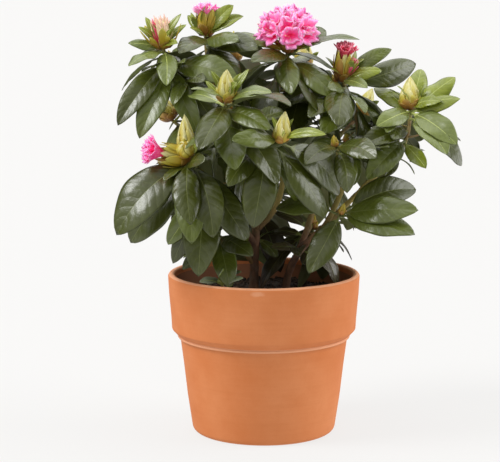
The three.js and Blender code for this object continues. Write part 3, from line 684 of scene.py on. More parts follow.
def side_twigs(shoot, stem, draw):
    """Side twigs with their own few leaves."""
    found = []
    for k in range(shoot["twigs"]):
        foot = stem.at(max(3 * STEM_LEAST, 1 - TWIG_SPACING * (k + 1.3) / stem.length))
        a = math.radians(shoot["heading"] + 30) + 2.2 * k + 0.6 * draw()
        length = TWIG_LENGTH * (0.8 + 0.4 * draw())
        end = foot + length * towards(a, 0.3 + 0.4 * draw())
        twig = short_limb(foot, a, end, length, TWIG_RADII)
        leaves = []
        for j in range(TWIG_LEAVES):
            bearing = a + math.tau * (j + 0.5) / TWIG_LEAVES + 0.5 * draw()
            along = towards(bearing, -0.1 - 0.75 * draw())
            size = (TWIG_LEAF[0] + (TWIG_LEAF[1] - TWIG_LEAF[0]) * draw()) * shoot["scale"]
            leaves.append(leaf_along(twig.at(1 - 0.1 * (j + 0.5)), along, size,
                                     RULE_TURN * (draw() - 0.5)))
        found.append((twig, leaves))
    return found


def reset_tip(leaf, turn, raise_by):
    reach = turned_about(leaf["tip"] - leaf["foot"], np.array([0, 0, 1.0]), turn)
    level, _ = cross_axes(unit(reach))
    return leaf["foot"] + turned_about(reach, level, -raise_by)


def node_points(name):
    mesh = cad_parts[name].data
    flat = np.empty(3 * len(mesh.vertices), np.float32)
    mesh.vertices.foreach_get("co", flat)
    return flat.reshape(-1, 3) / MM


def stands(points, place):
    """True where the frame's solid has a corner at a place."""
    return np.min(np.abs(points - place).sum(axis=1)) < 0.1


def spurs_of(stem, name, shoot, rng):
    """Short spurs down the shaded part of a shoot, each with a tuft of small leaves."""
    made = []
    for k, share in enumerate(SPUR_SHARES[:shoot["spurs"]]):
        a = k * GOLDEN + rng.uniform(0, math.tau)
        foot = stem.at(share)
        length = rng.uniform(*SPUR_LENGTH)
        end = foot + length * towards(a, rng.uniform(0.1, 0.6))
        spur = short_limb(foot, a, end, length, SPUR_RADII)
        leaves = []
        for j in range(SPUR_LEAVES):
            along = towards(a + (j - 1) * rng.uniform(0.8, 1.3), rng.uniform(-0.7, 0.3))
            size = rng.uniform(*SPUR_LEAF)
            leaves.append(leaf_along(spur.at(1 - 0.12 * j), along, size, rng.uniform(-20, 20),
                                     aspect=rng.uniform(0.30, 0.42), set=True, shoot=name,
                                     tint=shoot["tint"]))
        made.append((spur, leaves))
    return made


spur_rng = random.Random(31)
stem_blocks, all_leaves, heads = [], [], []
for i, (name, shoot) in enumerate(SHOOTS.items()):
    on, at = shoot["on"], shoot["at"]
    stem = sprung(limbs[on], at, shoot["tip"], STEM_RADII)
    draw = seeded(SEED + 97 * i)
    solid = node_points(name)
    leaves = shoot_leaves(shoot, stem, draw)
    twigs = []
    for twig, twig_leaves in side_twigs(shoot, stem, draw):
        if stands(solid, twig.at(1) + REST_BUD_HEIGHT * twig.along(1)):
            twigs.append(twig)
            leaves += twig_leaves
    for k, leaf in enumerate(leaves):
        tips = [reset_tip(leaf, *reset) for reset in RESETS]
        set_tip = next((t for t in tips if stands(solid, t)), None)
        leaf["set"] = set_tip is not None and k not in shoot["open"]
        if k in shoot["broad"]:
            leaf["aspect"] = shoot["broad"][k]
        leaf["tint"] = shoot["tints"].get(k, shoot["tint"])
        if leaf["set"]:
            leaf["tip"] = set_tip
        leaf["shoot"] = name
    all_leaves += leaves
    axis = unit(stem.along(1) + [*shoot["lean"], 1])
    heads.append((name, shoot["head"], np.array(shoot["tip"], float), axis))
    heads += [(name, "rest", twig.at(1), twig.along(1)) for twig in twigs]
    for spur, spur_leaves in spurs_of(stem, name, shoot, spur_rng):
        twigs.append(spur)
        all_leaves += spur_leaves
    # Extra dark brown leaves fill the middle of the crown; their darkness is partly painted shade.
    for share, reach in shoot["inner"]:
        foot = stem.at(share)
        all_leaves.append(new_leaf(foot, foot + reach, np.linalg.norm(reach) / LEAF_CHORD, set=True,
                                   shoot=name, aspect=INNER_ASPECT, tint="leaves_old"))
    for part, sides in [(stem, STEM_SIDES), *[(twig, TWIG_SIDES) for twig in twigs]]:
        stations = np.linspace(0, 1, max(8, int(part.length / 3)))
        centres = part.at(stations)
        radii = [part.radius(t) * (1 + KNUCKLES * math.sin(24 * t)) for t in stations]
        if part is stem:
            root = limbs[on].at(at)
            centres = np.vstack([root, 0.4 * root + 0.6 * centres[0], centres])
            radii = [radii[0] * 1.3, radii[0] * 1.15, *radii]
        stem_blocks.append(skin(centres, radii, sides))

SUCKER = np.array([(-40, -58, -2), (-44, -62, 12), (-45, -67, 24)]) + [0, 0, SOIL_TOP / MM]
SUCKER_LEAVES, SUCKER_LEAF, SUCKER_ASPECT = 6, (20, 30), 0.4
curve = Limb(SUCKER, SPUR_RADII).at(np.linspace(0, 1, 6))
stem_blocks.append(skin(curve, [SPUR_RADII[0]] * 6, TWIG_SIDES))
# The sucker's small leaves are dark green mottled whitish; the whitish is a painted sheen.
for k in range(SUCKER_LEAVES):
    along = towards(k * GOLDEN, spur_rng.uniform(-0.2, 0.7))
    size = spur_rng.uniform(*SUCKER_LEAF)
    all_leaves.append(new_leaf(SUCKER[2] - [0, 0, k], SUCKER[2] + LEAF_CHORD * size * along, size,
                               set=True, shoot="foliage_low_left", aspect=SUCKER_ASPECT,
                               tint="leaves_sprig"))
SHOOT_GREEN = (0.250, 0.235, 0.052)
SHOOT_RED = (0.215, 0.125, 0.042)
green_wood = mottled_finish("green_shoot", 0.5, (40, 4), 0.4, 0.62, SHOOT_GREEN, SHOOT_RED,
                            ((500, 4, 0.6, (1, 1, 0.4)), 0.3, 0.0006))
finish_joined("shoots", stem_blocks, [green_wood], "bark", *SHOOTS)

# ---- The leaves ----
# Thick evergreen leaves on short stalks. Each is folded a little along a sunken pale midrib, its
# margins curve down, and it is glossy above and dull and paler below.
LEAF_ROWS, SMALL_LEAF_ROWS = 24, 13
SMALL_LEAF = 51
LEAF_ASPECT = 0.36
LEAF_THICK = 0.55
LEAF_ARCH = 0.26
LEAN_WHEN_SET, LEAN_BY_RULE = 1.2, 0.75
PETIOLE_SHARE, PETIOLE_RADIUS = 0.13, 1.15
STALK_ROWS = 3
RIB_HALF = 0.5
CROWN_CENTRE = np.array([20, 25, 300.0])
# What each leaf draws between, and the shape of the grooved rib above and its keel below.
SWAY, TWIST = 0.05, 22
FOLD_LEAST, FOLD_MORE = 0.06, 0.34
DROOP_LEAST, DROOP_MORE = 0.12, 0.48
WAVES, WAVE_TURNS = (0.03, 0.10), 4.6
WIDTH_VARIES = (0.93, 1.07)
GROOVE_DEPTH, GROOVE_WIDTH = 0.75, 1.9
KEEL_DEPTH, KEEL_WIDTH = 0.9, 1.2
ACROSS = np.array([-1, -0.88, -0.64, -0.36, -0.1, 0.1, 0.36, 0.64, 0.88, 1])
UPPER, RIB, UNDER = 0, 1, 2


@functools.cache
def shell_plan(rows, cols):
    """Faces of a thin closed blade, each with its row, its column and whether it is on top."""
    top = [[r * cols + c for c in range(cols)] for r in range(rows)]
    under = rows * cols
    low = [[top[r][0], *[under + r * (cols - 2) + c for c in range(cols - 2)], top[r][-1]]
           for r in range(rows)]
    tip = under + rows * (cols - 2)
    plan = [((*top[0][::-1], *low[0][1:-1]), 0, 0, False)]
    for c in range(cols - 1):
        for r in range(rows - 1):
            plan.append(((top[r][c], top[r][c + 1], top[r + 1][c + 1], top[r + 1][c]), r, c, True))
            plan.append(((low[r][c + 1], low[r][c], low[r + 1][c], low[r + 1][c + 1]), r, c, False))
        plan.append(((top[-1][c], top[-1][c + 1], tip), rows, c, True))
        plan.append(((low[-1][c + 1], low[-1][c], tip), rows, c, False))
    return plan


def shell(upper, lower, tip, along, across, finish_of=None):
    """A thin closed blade from its upper and lower grids of points, which share their edges."""
    plan = shell_plan(*upper.shape[:2])
    points = np.vstack([upper.reshape(-1, 3), lower[:, 1:-1].reshape(-1, 3), tip[None, :]])
    uv = np.stack(np.broadcast_arrays(along[:, None], 0.5 + 0.5 * across[None, :]), -1)
    uv = np.vstack([uv.reshape(-1, 2), uv[:, 1:-1].reshape(-1, 2), [[1, 0.5]]])
    kinds = [finish_of(r, c, upper_side) if finish_of else 0 for _, r, c, upper_side in plan]
    return points * MM, [face for face, *_ in plan], uv, kinds


def leaf_finish_of(row, col, upper_side):
    """The finish of a face: the stalk has the midrib's."""
    if row < STALK_ROWS or (upper_side and col == len(ACROSS) // 2 - 1):
        return RIB
    return UPPER if upper_side else UNDER


def leaf_block(leaf, rng):
    """One leaf: its midrib follows the rule's arch, and its blade is folded about it."""
    foot, tip, length = leaf["foot"], leaf["tip"], leaf["length"]
    chord = tip - foot
    reach = np.linalg.norm(chord)
    along = chord / reach
    out = np.array([0, -LEAN_WHEN_SET, 0]) if leaf["named"] else np.append(
        LEAN_BY_RULE * unit((tip - CROWN_CENTRE)[:2]), 0)
    lift = np.array([0, 0, 1]) + out
    lift = unit(lift - np.dot(lift, along) * along)
    lift = turned_about(lift, along, leaf["turn"])
    side = np.cross(along, lift)
    sway = rng.uniform(-SWAY, SWAY) * reach
    twist = rng.uniform(-TWIST, TWIST)
    fold = FOLD_LEAST + FOLD_MORE * rng.random() ** 1.6
    droop = DROOP_LEAST + DROOP_MORE * rng.random() ** 2
    waves, phase = rng.uniform(*WAVES), rng.uniform(0, 6)
    half = 0.5 * leaf.get("aspect", LEAF_ASPECT) * length * rng.uniform(*WIDTH_VARIES)
    stalk_rows = [0, 0.5 * PETIOLE_SHARE, PETIOLE_SHARE]
    rows = LEAF_ROWS if length > SMALL_LEAF else SMALL_LEAF_ROWS
    blade_rows = PETIOLE_SHARE + (1 - PETIOLE_SHARE) * np.linspace(0, 1, rows - 1)[1:-1] ** 0.92
    u = np.array([*stalk_rows, *blade_rows])[:, None]
    s = np.clip((u - PETIOLE_SHARE) / (1 - PETIOLE_SHARE), 0, 1)
    middle = foot + 0.5 * chord + LEAF_ARCH * reach * lift
    spine = (1 - u) ** 2 * foot + 2 * u * (1 - u) * middle + u ** 2 * tip
    spine = spine + sway * np.sin(math.pi * u) * side
    run = (1 - u) * (middle - foot) + u * (tip - middle)
    run = run / np.linalg.norm(run, axis=1)[:, None]
    a = np.radians(twist * (u - 0.2))
    normal = np.cross(side, run)
    wide_dir = side * np.cos(a) + normal * np.sin(a)
    normal = normal * np.cos(a) - side * np.sin(a)
    shape = (s ** 0.80 * (1 - s) ** 0.78) / (0.5063 ** 0.80 * 0.4937 ** 0.78)
    stalk = np.clip(1 - s / 0.10, 0, 1) * PETIOLE_RADIUS * (1.25 - 1.6 * u)
    wide = np.maximum(half * shape, stalk)
    v = ACROSS[None, :]
    rib = np.minimum(0.1 * wide, RIB_HALF * (1.1 - 0.8 * s))
    x = np.where(np.abs(v) < 0.2, np.sign(v) * rib, v * wide)
    y = np.abs(x)
    blade = 1 - stalk / PETIOLE_RADIUS
    ripple = waves * y * np.sin(WAVE_TURNS * math.pi * s + phase + (v > 0))
    flat = fold * y - droop * y ** 2 / half + ripple
    groove = GROOVE_DEPTH * np.exp(-(x / GROOVE_WIDTH) ** 2) * (1 - 0.6 * s)
    edge = 1 - v ** 4
    round_top = stalk * np.sqrt(np.clip(1 - v ** 2, 0, 1))
    top = blade * (flat - groove * edge + 0.5 * LEAF_THICK * edge) + round_top
    keel = KEEL_DEPTH * np.exp(-(x / KEEL_WIDTH) ** 2) * (1 - 0.85 * s)
    low = blade * (flat - 0.5 * groove * edge - 0.5 * LEAF_THICK * edge - keel) - round_top
    flat_grid = spine[:, None, :] + x[..., None] * wide_dir[:, None, :]
    upper = flat_grid + top[..., None] * normal[:, None, :]
    lower = flat_grid + low[..., None] * normal[:, None, :]
    return shell(upper, lower, tip, s[:, 0], ACROSS, leaf_finish_of)


def blade_axes(tree):
    """Sockets for a blade's own UV, the share along it and the share across it."""
    uv = node(tree, "UVMap", uv_map="blade").outputs["UV"]
    split = node(tree, "SeparateXYZ", {0: uv}).outputs
    return uv, split["X"], split["Y"]


def blade_finish(name, dark, light, gloss, pucker):
    """The upper face: side veins sunk between swellings of the blade, under a waxy gloss."""
    material, tree, shader, place = new_finish(name, dark, Roughness=gloss, Coat_Weight=0.5,
                                               Specular_IOR_Level=0.36, Coat_Roughness=0.24)
    _, along, across = blade_axes(tree)
    off_rib = calc(tree, "ABSOLUTE", calc(tree, "SUBTRACT", across, 0.5))
    slant = calc(tree, "MULTIPLY_ADD", off_rib, -0.42, along)
    wander = calc(tree, "MULTIPLY_ADD", grain(tree, place, 70, 2), 0.05, slant)
    bulge = calc(tree, "ABSOLUTE", calc(tree, "SINE", calc(tree, "MULTIPLY", wander, 9 * math.pi)))
    veins = calc(tree, "MULTIPLY", fade(tree, bulge, 0, 0.32, 1, 0), 0.12)
    tone = between(tree, grain(tree, place, 22, 3), 0.38, 0.64, dark, light)
    veined = blend_colours(tree, veins, tone, [min(1, 2.2 * c + 0.012) for c in light])
    tree.links.new(veined, shader.inputs["Base Color"])
    relief(tree, shader, (bulge, pucker, 0.0009), (grain(tree, place, 95, 3), 0.5, 0.0020),
           (grain(tree, place, 900, 2), 0.05, 0.0003))
    return material


def plain_leaf_finish(name, first, second, roughness):
    return mottled_finish(name, roughness, (60, 4), 0.4, 0.65, first, second,
                          ((500, 3), 0.2, 0.0005))


grown = [plain_leaf_finish("midrib", (0.135, 0.155, 0.040), (0.100, 0.118, 0.028), 0.42),
         plain_leaf_finish("leaf_underside", (0.125, 0.145, 0.045), (0.155, 0.175, 0.060), 0.62)]
tender = [plain_leaf_finish("new_midrib", (0.40, 0.46, 0.13), (0.33, 0.39, 0.10), 0.45),
          plain_leaf_finish("new_underside", (0.24, 0.30, 0.05), (0.28, 0.34, 0.08), 0.55)]
LEAF_FINISHES = {}
for tint, dark, light, gloss, pucker, others in (
    ("deep", (0.041, 0.050, 0.003), (0.056, 0.070, 0.006), 0.33, 0.34, grown),
    ("green", (0.063, 0.082, 0.006), (0.097, 0.124, 0.015), 0.35, 0.30, grown),
    ("light", (0.110, 0.142, 0.026), (0.155, 0.190, 0.044), 0.38, 0.20, tender),
    ("new", (0.125, 0.158, 0.006), (0.235, 0.280, 0.020), 0.40, 0.20, tender),
    # Dark brown leaves for the inside of the crown: older leaves, partly painted shade.
    ("old", (0.034, 0.027, 0.008), (0.056, 0.045, 0.015), 0.42, 0.30, grown),
    # Dark green mottled whitish, the whitish a painted sheen, for the sucker's small leaves.
    ("sprig", (0.070, 0.090, 0.030), (0.420, 0.480, 0.330), 0.33, 0.30, tender),
):
    blade = blade_finish("leaf_" + tint, dark, light, gloss, pucker)
    LEAF_FINISHES["leaves_" + tint] = [blade, *others]
NEW_LENGTHS = {"foliage_top_left": 52, "foliage_upper_right": 52, "foliage_right": 66}
NEW_LENGTH, LIGHT_LENGTH = 36, 68
LIGHT_SHARE, DEEP_SHARE = 0.5, 0.55


def tint_of(leaf, rng):
    """Short leaves by a bud are new and bright, the rest deep green with a few lighter."""
    raised = leaf["tip"][2] > leaf["foot"][2]
    if leaf["named"] and raised and leaf["length"] <= NEW_LENGTHS.get(leaf["shoot"], NEW_LENGTH):
        return "leaves_new"
    if leaf["named"] and leaf["length"] <= LIGHT_LENGTH:
        return "leaves_light" if rng.random() < LIGHT_SHARE else "leaves_green"
    return "leaves_deep" if rng.random() < DEEP_SHARE else "leaves_green"


def finish_leaves(name, leaves, materials, rng):
    blocks = [leaf_block(leaf, rng) for leaf in leaves]
    finish_joined(name, blocks, materials, "foliage", *sorted({leaf["shoot"] for leaf in leaves}))


rng = random.Random(7)
by_tint = {tint: [] for tint in LEAF_FINISHES}
for leaf in all_leaves:
    tint = tint_of(leaf, rng)
    if leaf["set"]:
        by_tint[leaf["tint"] or tint].append(leaf)
for tint, leaves in by_tint.items():
    finish_leaves(tint, leaves, LEAF_FINISHES[tint], rng)

# ---- The flower buds ----
# Fat pointed buds of overlapping scales, brown at the foot and cream-green above, with a few loose
# green bracts round them. Small resting buds end the twigs that don't flower.
SCALE_ROWS = 9
SCALE_ACROSS = np.array([-1, -0.7, -0.3, 0, 0.3, 0.7, 1])
SCALE_THICK = 0.5
SUNK = 2
BUD = (10.5, 34)
BUDS = {"foliage_front": (8.6, 33), "foliage_right": (11.5, 34)}
TALL_BUD, TALL_LIFT = (9.5, 41), 4
SIDE_BUD, SIDE_LIFT = (8.8, 19), 7
REST_BUD, TIP_BUD = (3.4, REST_BUD_HEIGHT), (3.8, 12)


def bud_radius(x):
    """The outline of a closed bud: 0 at foot and tip, 1 at a third of its height."""
    return math.sin(math.pi * min(max(x, 0.0), 1.0) ** 0.62) ** 0.85


def barrel_radius(x):
    """The outline of a bud about to open: full to near its top, and round there."""
    return math.sin(math.pi * min(max(x, 0.0), 1.0) ** 0.85) ** 0.55


def cup_radius(x):
    """The outline of a bud that has opened: straight-sided, and wide to its end."""
    return min(1.0, 0.45 + 1.5 * max(0.0, x)) * (1 - 0.18 * max(0.0, x - 0.6))


def scale_block(bud, a, low, high, half_angle, lift, flare=0.0):
    """One scale that hugs a bud from a low to a high share of its height, about a bearing."""
    base, axis, radius, height, outline = bud
    e1, e2 = cross_axes(axis)
    s = np.linspace(0, 0.97, SCALE_ROWS)
    x = low + (high - low) * s
    spread = half_angle * (1 - s ** 2.6) ** 0.7 * (0.8 + 0.35 * s)
    v = SCALE_ACROSS[None, :]
    angle = a + v * spread[:, None]
    r = np.array([radius * outline(k) for k in x]) + lift + flare * s ** 2
    edge = 1 - v ** 4
    keel = 0.5 * np.exp(-(v / 0.22) ** 2) * (1 - s[:, None] * 0.5)
    out = np.cos(angle)[..., None] * e1 + np.sin(angle)[..., None] * e2
    stand = base + (x * height)[:, None, None] * axis
    outer = stand + (r[:, None] + (0.5 * SCALE_THICK + keel) * edge)[..., None] * out
    inner = stand + (r[:, None] - 0.5 * SCALE_THICK * edge)[..., None] * out
    tip_r = radius * outline(high) + lift + flare
    tip = base + high * height * axis + tip_r * (math.cos(a) * e1 + math.sin(a) * e2)
    return shell(outer, inner, tip, s, SCALE_ACROSS)


def core_block(bud, top=1.0, sides=14, rings=9):
    """The closed heart of a bud, under its scales."""
    base, axis, radius, height, outline = bud
    x = np.linspace(0.01, top, rings)
    centres = base + (x * height)[:, None] * axis
    points, faces = skin(centres, [max(0.4, 0.93 * radius * outline(k)) for k in x], sides)
    return points, faces, np.tile([0.5, 0.5], (len(points), 1)), [0] * len(faces)


def scaled_bud(bud, rng, tiers):
    """Scales in tiers: how many, low, high, half angle, lift, flare and where they go."""
    start = rng.uniform(0, 6)
    for k, (count, low, high, half_angle, lift, flare, into) in enumerate(tiers):
        for j in range(count):
            a = start + 0.9 * k + math.tau * (j + rng.uniform(-0.08, 0.08)) / count
            high_here = high * rng.uniform(0.95, 1.04)
            into.append(scale_block(bud, a, low, high_here, half_angle, lift, flare))


def scale_finish(name, foot, middle, tip, roughness=0.42):
    """Bud scales: streaked along, changing colour from foot to tip."""
    material, tree, shader, place = new_finish(name, middle, Roughness=roughness)
    uv, along, _ = blade_axes(tree)
    rising = blend_colours(tree, fade(tree, along, 0.05, 0.5), foot, middle)
    full = blend_colours(tree, fade(tree, along, 0.55, 1), rising, tip)
    streaks = node(tree, "TexWave", {"Vector": uv, "Scale": 3.0, "Distortion": 2.5, "Detail": 2.0},
                   bands_direction="Y").outputs["Fac"]
    streaked = blend_colours(tree, fade(tree, streaks, 0.3, 0.9, 0, 0.35), full, foot)
    tree.links.new(streaked, shader.inputs["Base Color"])
    relief(tree, shader, (streaks, 0.3, 0.0004), (grain(tree, place, 500, 3), 0.2, 0.0004))
    return material


cream = scale_finish("bud_cream", (0.46, 0.33, 0.025), (0.60, 0.55, 0.14), (0.75, 0.73, 0.41))
olive = scale_finish("bud_olive", (0.33, 0.19, 0.012), (0.45, 0.33, 0.018), (0.54, 0.51, 0.080))
brown = scale_finish("bud_brown", (0.200, 0.070, 0.016), (0.40, 0.19, 0.030), (0.46, 0.31, 0.055))
cream_blocks, olive_blocks, brown_blocks = [], [], []
rng = random.Random(23)


def sunk(base, axis, size, inset, outline):
    """A bud's foot, a little down in its shoot, with its axis, radius, height and outline."""
    return base - SUNK * axis, axis, size[0] - inset, size[1] + SUNK, outline


def closed_bud(base, axis, size, rng):
    bud = sunk(base, axis, size, 1.1, bud_radius)
    cream_blocks.append(core_block(bud))
    scaled_bud(bud, rng, [
        (4, 0.00, 0.22, 0.75, 1.4, 1.2, brown_blocks),
        (5, 0.01, 0.33, 0.62, 1.2, 0.6, brown_blocks),
        (5, 0.03, 0.46, 0.60, 1.0, 0.3, olive_blocks),
        (6, 0.07, 0.58, 0.52, 0.85, 0.15, cream_blocks),
        (6, 0.15, 0.70, 0.50, 0.7, 0.1, cream_blocks),
        (6, 0.26, 0.82, 0.52, 0.55, 0.05, cream_blocks),
        (6, 0.38, 0.92, 0.56, 0.4, 0.0, cream_blocks),
        (5, 0.52, 0.98, 0.70, 0.25, 0.0, cream_blocks),
        (4, 0.66, 1.00, 0.85, 0.1, 0.0, cream_blocks),
    ])


def resting_bud(base, axis, size, rng):
    bud = sunk(base, axis, size, 0.4, bud_radius)
    olive_blocks.append(core_block(bud, 1.0, 8, 6))
    scaled_bud(bud, rng, [(4, 0.0, 0.5, 0.8, 0.3, 0.3, brown_blocks),
                          (4, 0.1, 0.9, 0.7, 0.1, 0.1, olive_blocks)])


# ---- The blossom ----
# Funnel-shaped florets with five ruffled lobes, deep pink in the throat and lighter at the rim,
# crowded into a dome on the top shoot, and just breaking out of the buds beside it.
FLORET_SIDES = 56
FLORET_RINGS = (0, 0.22, 0.42, 0.6, 0.76, 0.9, 1)
PETAL_THICK = 0.4
TRUSS_RADIUS, TRUSS_HEIGHT = 26, 42
FLORETS, FADED_ABOVE = 24, 0.6
FLORET_LENGTH, FLORET_MOUTH = (22, 29), (12.5, 16.5)
LOBES, THROAT = 5, 1.7
STAMENS = 2
OPENING = (13, 32)
BLOOM_BUD, BLOOM_SHARE = (13, 46), 0.66
ROSE_BUD, SMALL_ROSE_BUD = (11, 31), (6.5, 21)
FURLED, FURLED_SIDES, ROSY = 20, 9, (7, 15)
BRACTS, BRACT_ASPECT, SET_BRACT_ASPECT = 6, 0.25, 0.24
SET_BRACTS = {
    "foliage_upper_left": [(-26, -6, 22), (-19, 6, 32), (-12, -10, 26), (20, -4, 36), (25, 6, 24),
                           (9, -14, 20)],
    "foliage_centre_left": [(-15, -6, 31), (-21, 4, 20), (24, -6, 33), (16, 4, 28), (6, -16, 16)],
    "foliage_front": [(-9, -5, 26), (13, -4, 24), (4, -14, 12)],
    "foliage_left": [(16, -4, 20)],
    "foliage_top": [(-25, -8, 7), (30, -6, 8), (15, -18, 3), (-9, -20, 5), (26, 10, 12),
                    (-20, 12, 12)],
}
pink_blocks, rose_blocks, pale_blocks, stamens = [], [], [], []


def floret_block(throat, axis, length, mouth, rng, openness=1.0, tone=0):
    """One corolla in one of two tones, a thin wall that turns back at its ruffled rim."""
    e1, e2 = cross_axes(axis)
    a = math.tau * np.arange(FLORET_SIDES) / FLORET_SIDES
    turn, p1, p2 = rng.uniform(0, 6), rng.uniform(0, 6), rng.uniform(0, 6)
    lobe = 0.80 + 0.20 * np.abs(np.cos(LOBES / 2 * (a + turn))) ** 0.55
    rings, along = [], []

    def ring(s, inward):
        wide = THROAT + (mouth - THROAT) * (0.25 * s + 0.75 * s ** 2.2) * openness
        reach = 1 + (lobe - 1) * s ** 1.5
        ruffle = s ** 3 * (1.7 * np.sin(8 * a + p1) + 1.0 * np.sin(14 * a + p2)) * mouth / 12
        r = wide * reach + 0.3 * ruffle - inward * PETAL_THICK
        z = length * s * (1.2 - 0.28 * s * s * openness) * (1 + (lobe - 1) * 0.6 * s ** 2) + ruffle
        z = z + inward * PETAL_THICK * s
        bearing = (a + 0.25 * s)[:, None]
        rings.append(throat + z[:, None] * axis
                     + r[:, None] * (np.cos(bearing) * e1 + np.sin(bearing) * e2))
        along.append(s)

    for s in FLORET_RINGS:
        ring(s, 0)
    for s in FLORET_RINGS[-2:0:-1]:
        ring(s, 1)
    faces = tube_faces(len(rings), FLORET_SIDES)
    uv = np.stack([np.repeat(along, FLORET_SIDES), np.tile(a / math.tau, len(rings))], -1)
    return np.concatenate(rings) * MM, faces, uv, [tone] * len(faces)


def stamen_blocks(throat, axis, length, rng):
    """Thin filaments that curve out of a throat, each with its anther."""
    e1, e2 = cross_axes(axis)
    made = []
    for _ in range(STAMENS):
        a = rng.uniform(0, math.tau)
        lean = rng.uniform(0.1, 0.35)
        out = math.cos(a) * e1 + math.sin(a) * e2
        t = np.linspace(0, 1, 5)[:, None]
        line = throat + length * t * axis + length * lean * t ** 2 * out
        made.append(skin(line, [0.32, 0.3, 0.28, 0.26, 0.25], 4))
        tangent = unit(line[-1] - line[-2])
        bead = line[-1] + np.linspace(-0.4, 1.3, 4)[:, None] * tangent
        made.append(skin(bead, [0.3, 0.7, 0.65, 0.25], 5))
    return made


def petal_finish(name, deep, middle, rim):
    """Petals: deep in the throat, lighter at the rim, blotched, and with a faint painted glow as of
    light through them.
    """
    material, tree, shader, place = new_finish(
        name, middle, Roughness=0.5, Subsurface_Weight=0.5, Subsurface_Radius=(1.0, 0.35, 0.6),
        Subsurface_Scale=0.002, Emission_Color=(*deep, 1), Emission_Strength=0.1)
    _, along, _ = blade_axes(tree)
    opened = blend_colours(tree, fade(tree, along, 0.15, 0.6), deep, middle)
    rimmed = blend_colours(tree, fade(tree, along, 0.72, 1), opened, rim)
    blotches = fade(tree, grain(tree, place, 160, 3), 0.35, 0.65, 0, 0.35)
    tree.links.new(blend_colours(tree, blotches, rimmed, rim), shader.inputs["Base Color"])
    relief(tree, shader, (grain(tree, place, 320, 3), 0.3, 0.0008))
    return material


pink = petal_finish("petal_pink", (0.93, 0.014, 0.135), (0.96, 0.062, 0.335), (0.98, 0.450, 0.765))
# The paler pink is the real colour of the florets that lean out of parted buds, and a painted
# highlight on the upward florets of the dome.
faded = petal_finish("petal_pale_pink_and_top_lit", (0.94, 0.085, 0.25), (0.97, 0.185, 0.47), (0.98, 0.52, 0.81))
rose = petal_finish("petal_rose", (0.36, 0.012, 0.032), (0.56, 0.042, 0.094), (0.84, 0.235, 0.310))
pale = scale_finish("petal_pale", (0.52, 0.40, 0.10), (0.80, 0.72, 0.42), (0.86, 0.50, 0.46), 0.5)


def around(axis, lean, a):
    """The axis leant outwards by an angle, towards a bearing about it."""
    e1, e2 = cross_axes(axis)
    return math.cos(lean) * axis + math.sin(lean) * (math.cos(a) * e1 + math.sin(a) * e2)


def tuft(start, heading, into, rng, count, length, mouth, spread, tone=0):
    """Crumpled florets that fan out of a bud about a heading."""
    for k in range(count):
        out = around(heading, 0.0 if k == 0 else spread * rng.uniform(0.45, 1.0), k * GOLDEN)
        tall, wide = length * rng.uniform(0.82, 1.08), mouth * rng.uniform(0.8, 1.15)
        into.append(floret_block(start + 2.5 * (out - heading), out, tall, wide, rng, 0.8, tone))


def furled(base, axis, length, girth, into):
    """A corolla still rolled up: slim at the foot, full above, and drawn to a point."""
    stations = np.linspace(0, 1, 10)
    swelling = 0.3 + 0.7 * np.sin(math.pi * stations ** 0.9) ** 0.8
    radii = girth * swelling * (1 - 0.9 * stations ** 5)
    radii[-1] = 0.2
    e1, _ = cross_axes(axis)
    bow = 0.05 * length * np.sin(math.pi * stations)[:, None] * e1
    curve = base + (stations * length)[:, None] * axis + bow
    points, faces = skin(curve, radii, FURLED_SIDES)
    round_it = np.tile(np.arange(FURLED_SIDES) / FURLED_SIDES, len(stations))
    uv = np.stack([np.repeat(stations, FURLED_SIDES), round_it], -1)
    into.append((points, faces, uv, [0] * len(faces)))


def parted_bud(base, axis, size, top, rng, outer=olive_blocks):
    """Upright pointed scales that have parted at the top."""
    bud = sunk(base, axis, size, 2.0, cup_radius)
    cream_blocks.append(core_block(bud, 0.66))
    scaled_bud(bud, rng, [
        (4, 0.0, 0.34, 0.75, 1.4, 2.2, brown_blocks), (5, 0.02, top, 0.50, 1.0, 1.6, outer),
        (5, 0.08, top + 0.14, 0.48, 0.5, 0.8, olive_blocks),
        (5, 0.14, top + 0.24, 0.46, 0.1, -1.0, cream_blocks),
    ])


def pale_bud(base, axis, size, rng):
    """A fat bud of pale rolled corollas with pink tips, among long scales that stand off it."""
    bud = sunk(base, axis, size, 3.0, barrel_radius)
    pale_blocks.append(core_block(bud, 0.9))
    for k in range(FURLED):
        a = k * GOLDEN
        share = math.sqrt((k + 0.5) / FURLED)
        out = around(axis, 0.26 * share, a)
        foot = base + 0.34 * size[0] * share * around(axis, math.pi / 2, a)
        length = (size[1] + 4) * (1.02 - 0.24 * share ** 2) * rng.uniform(0.90, 1.06)
        furled(foot, out, length, rng.uniform(3.2, 4.4), rose_blocks if k in ROSY else pale_blocks)
    scaled_bud(bud, rng, [
        (5, 0.0, 0.30, 0.75, 4.0, 2.5, brown_blocks), (5, 0.02, 0.74, 0.30, 4.4, 11, olive_blocks),
        (6, 0.02, 0.52, 0.36, 4.0, 5.0, olive_blocks),
    ])


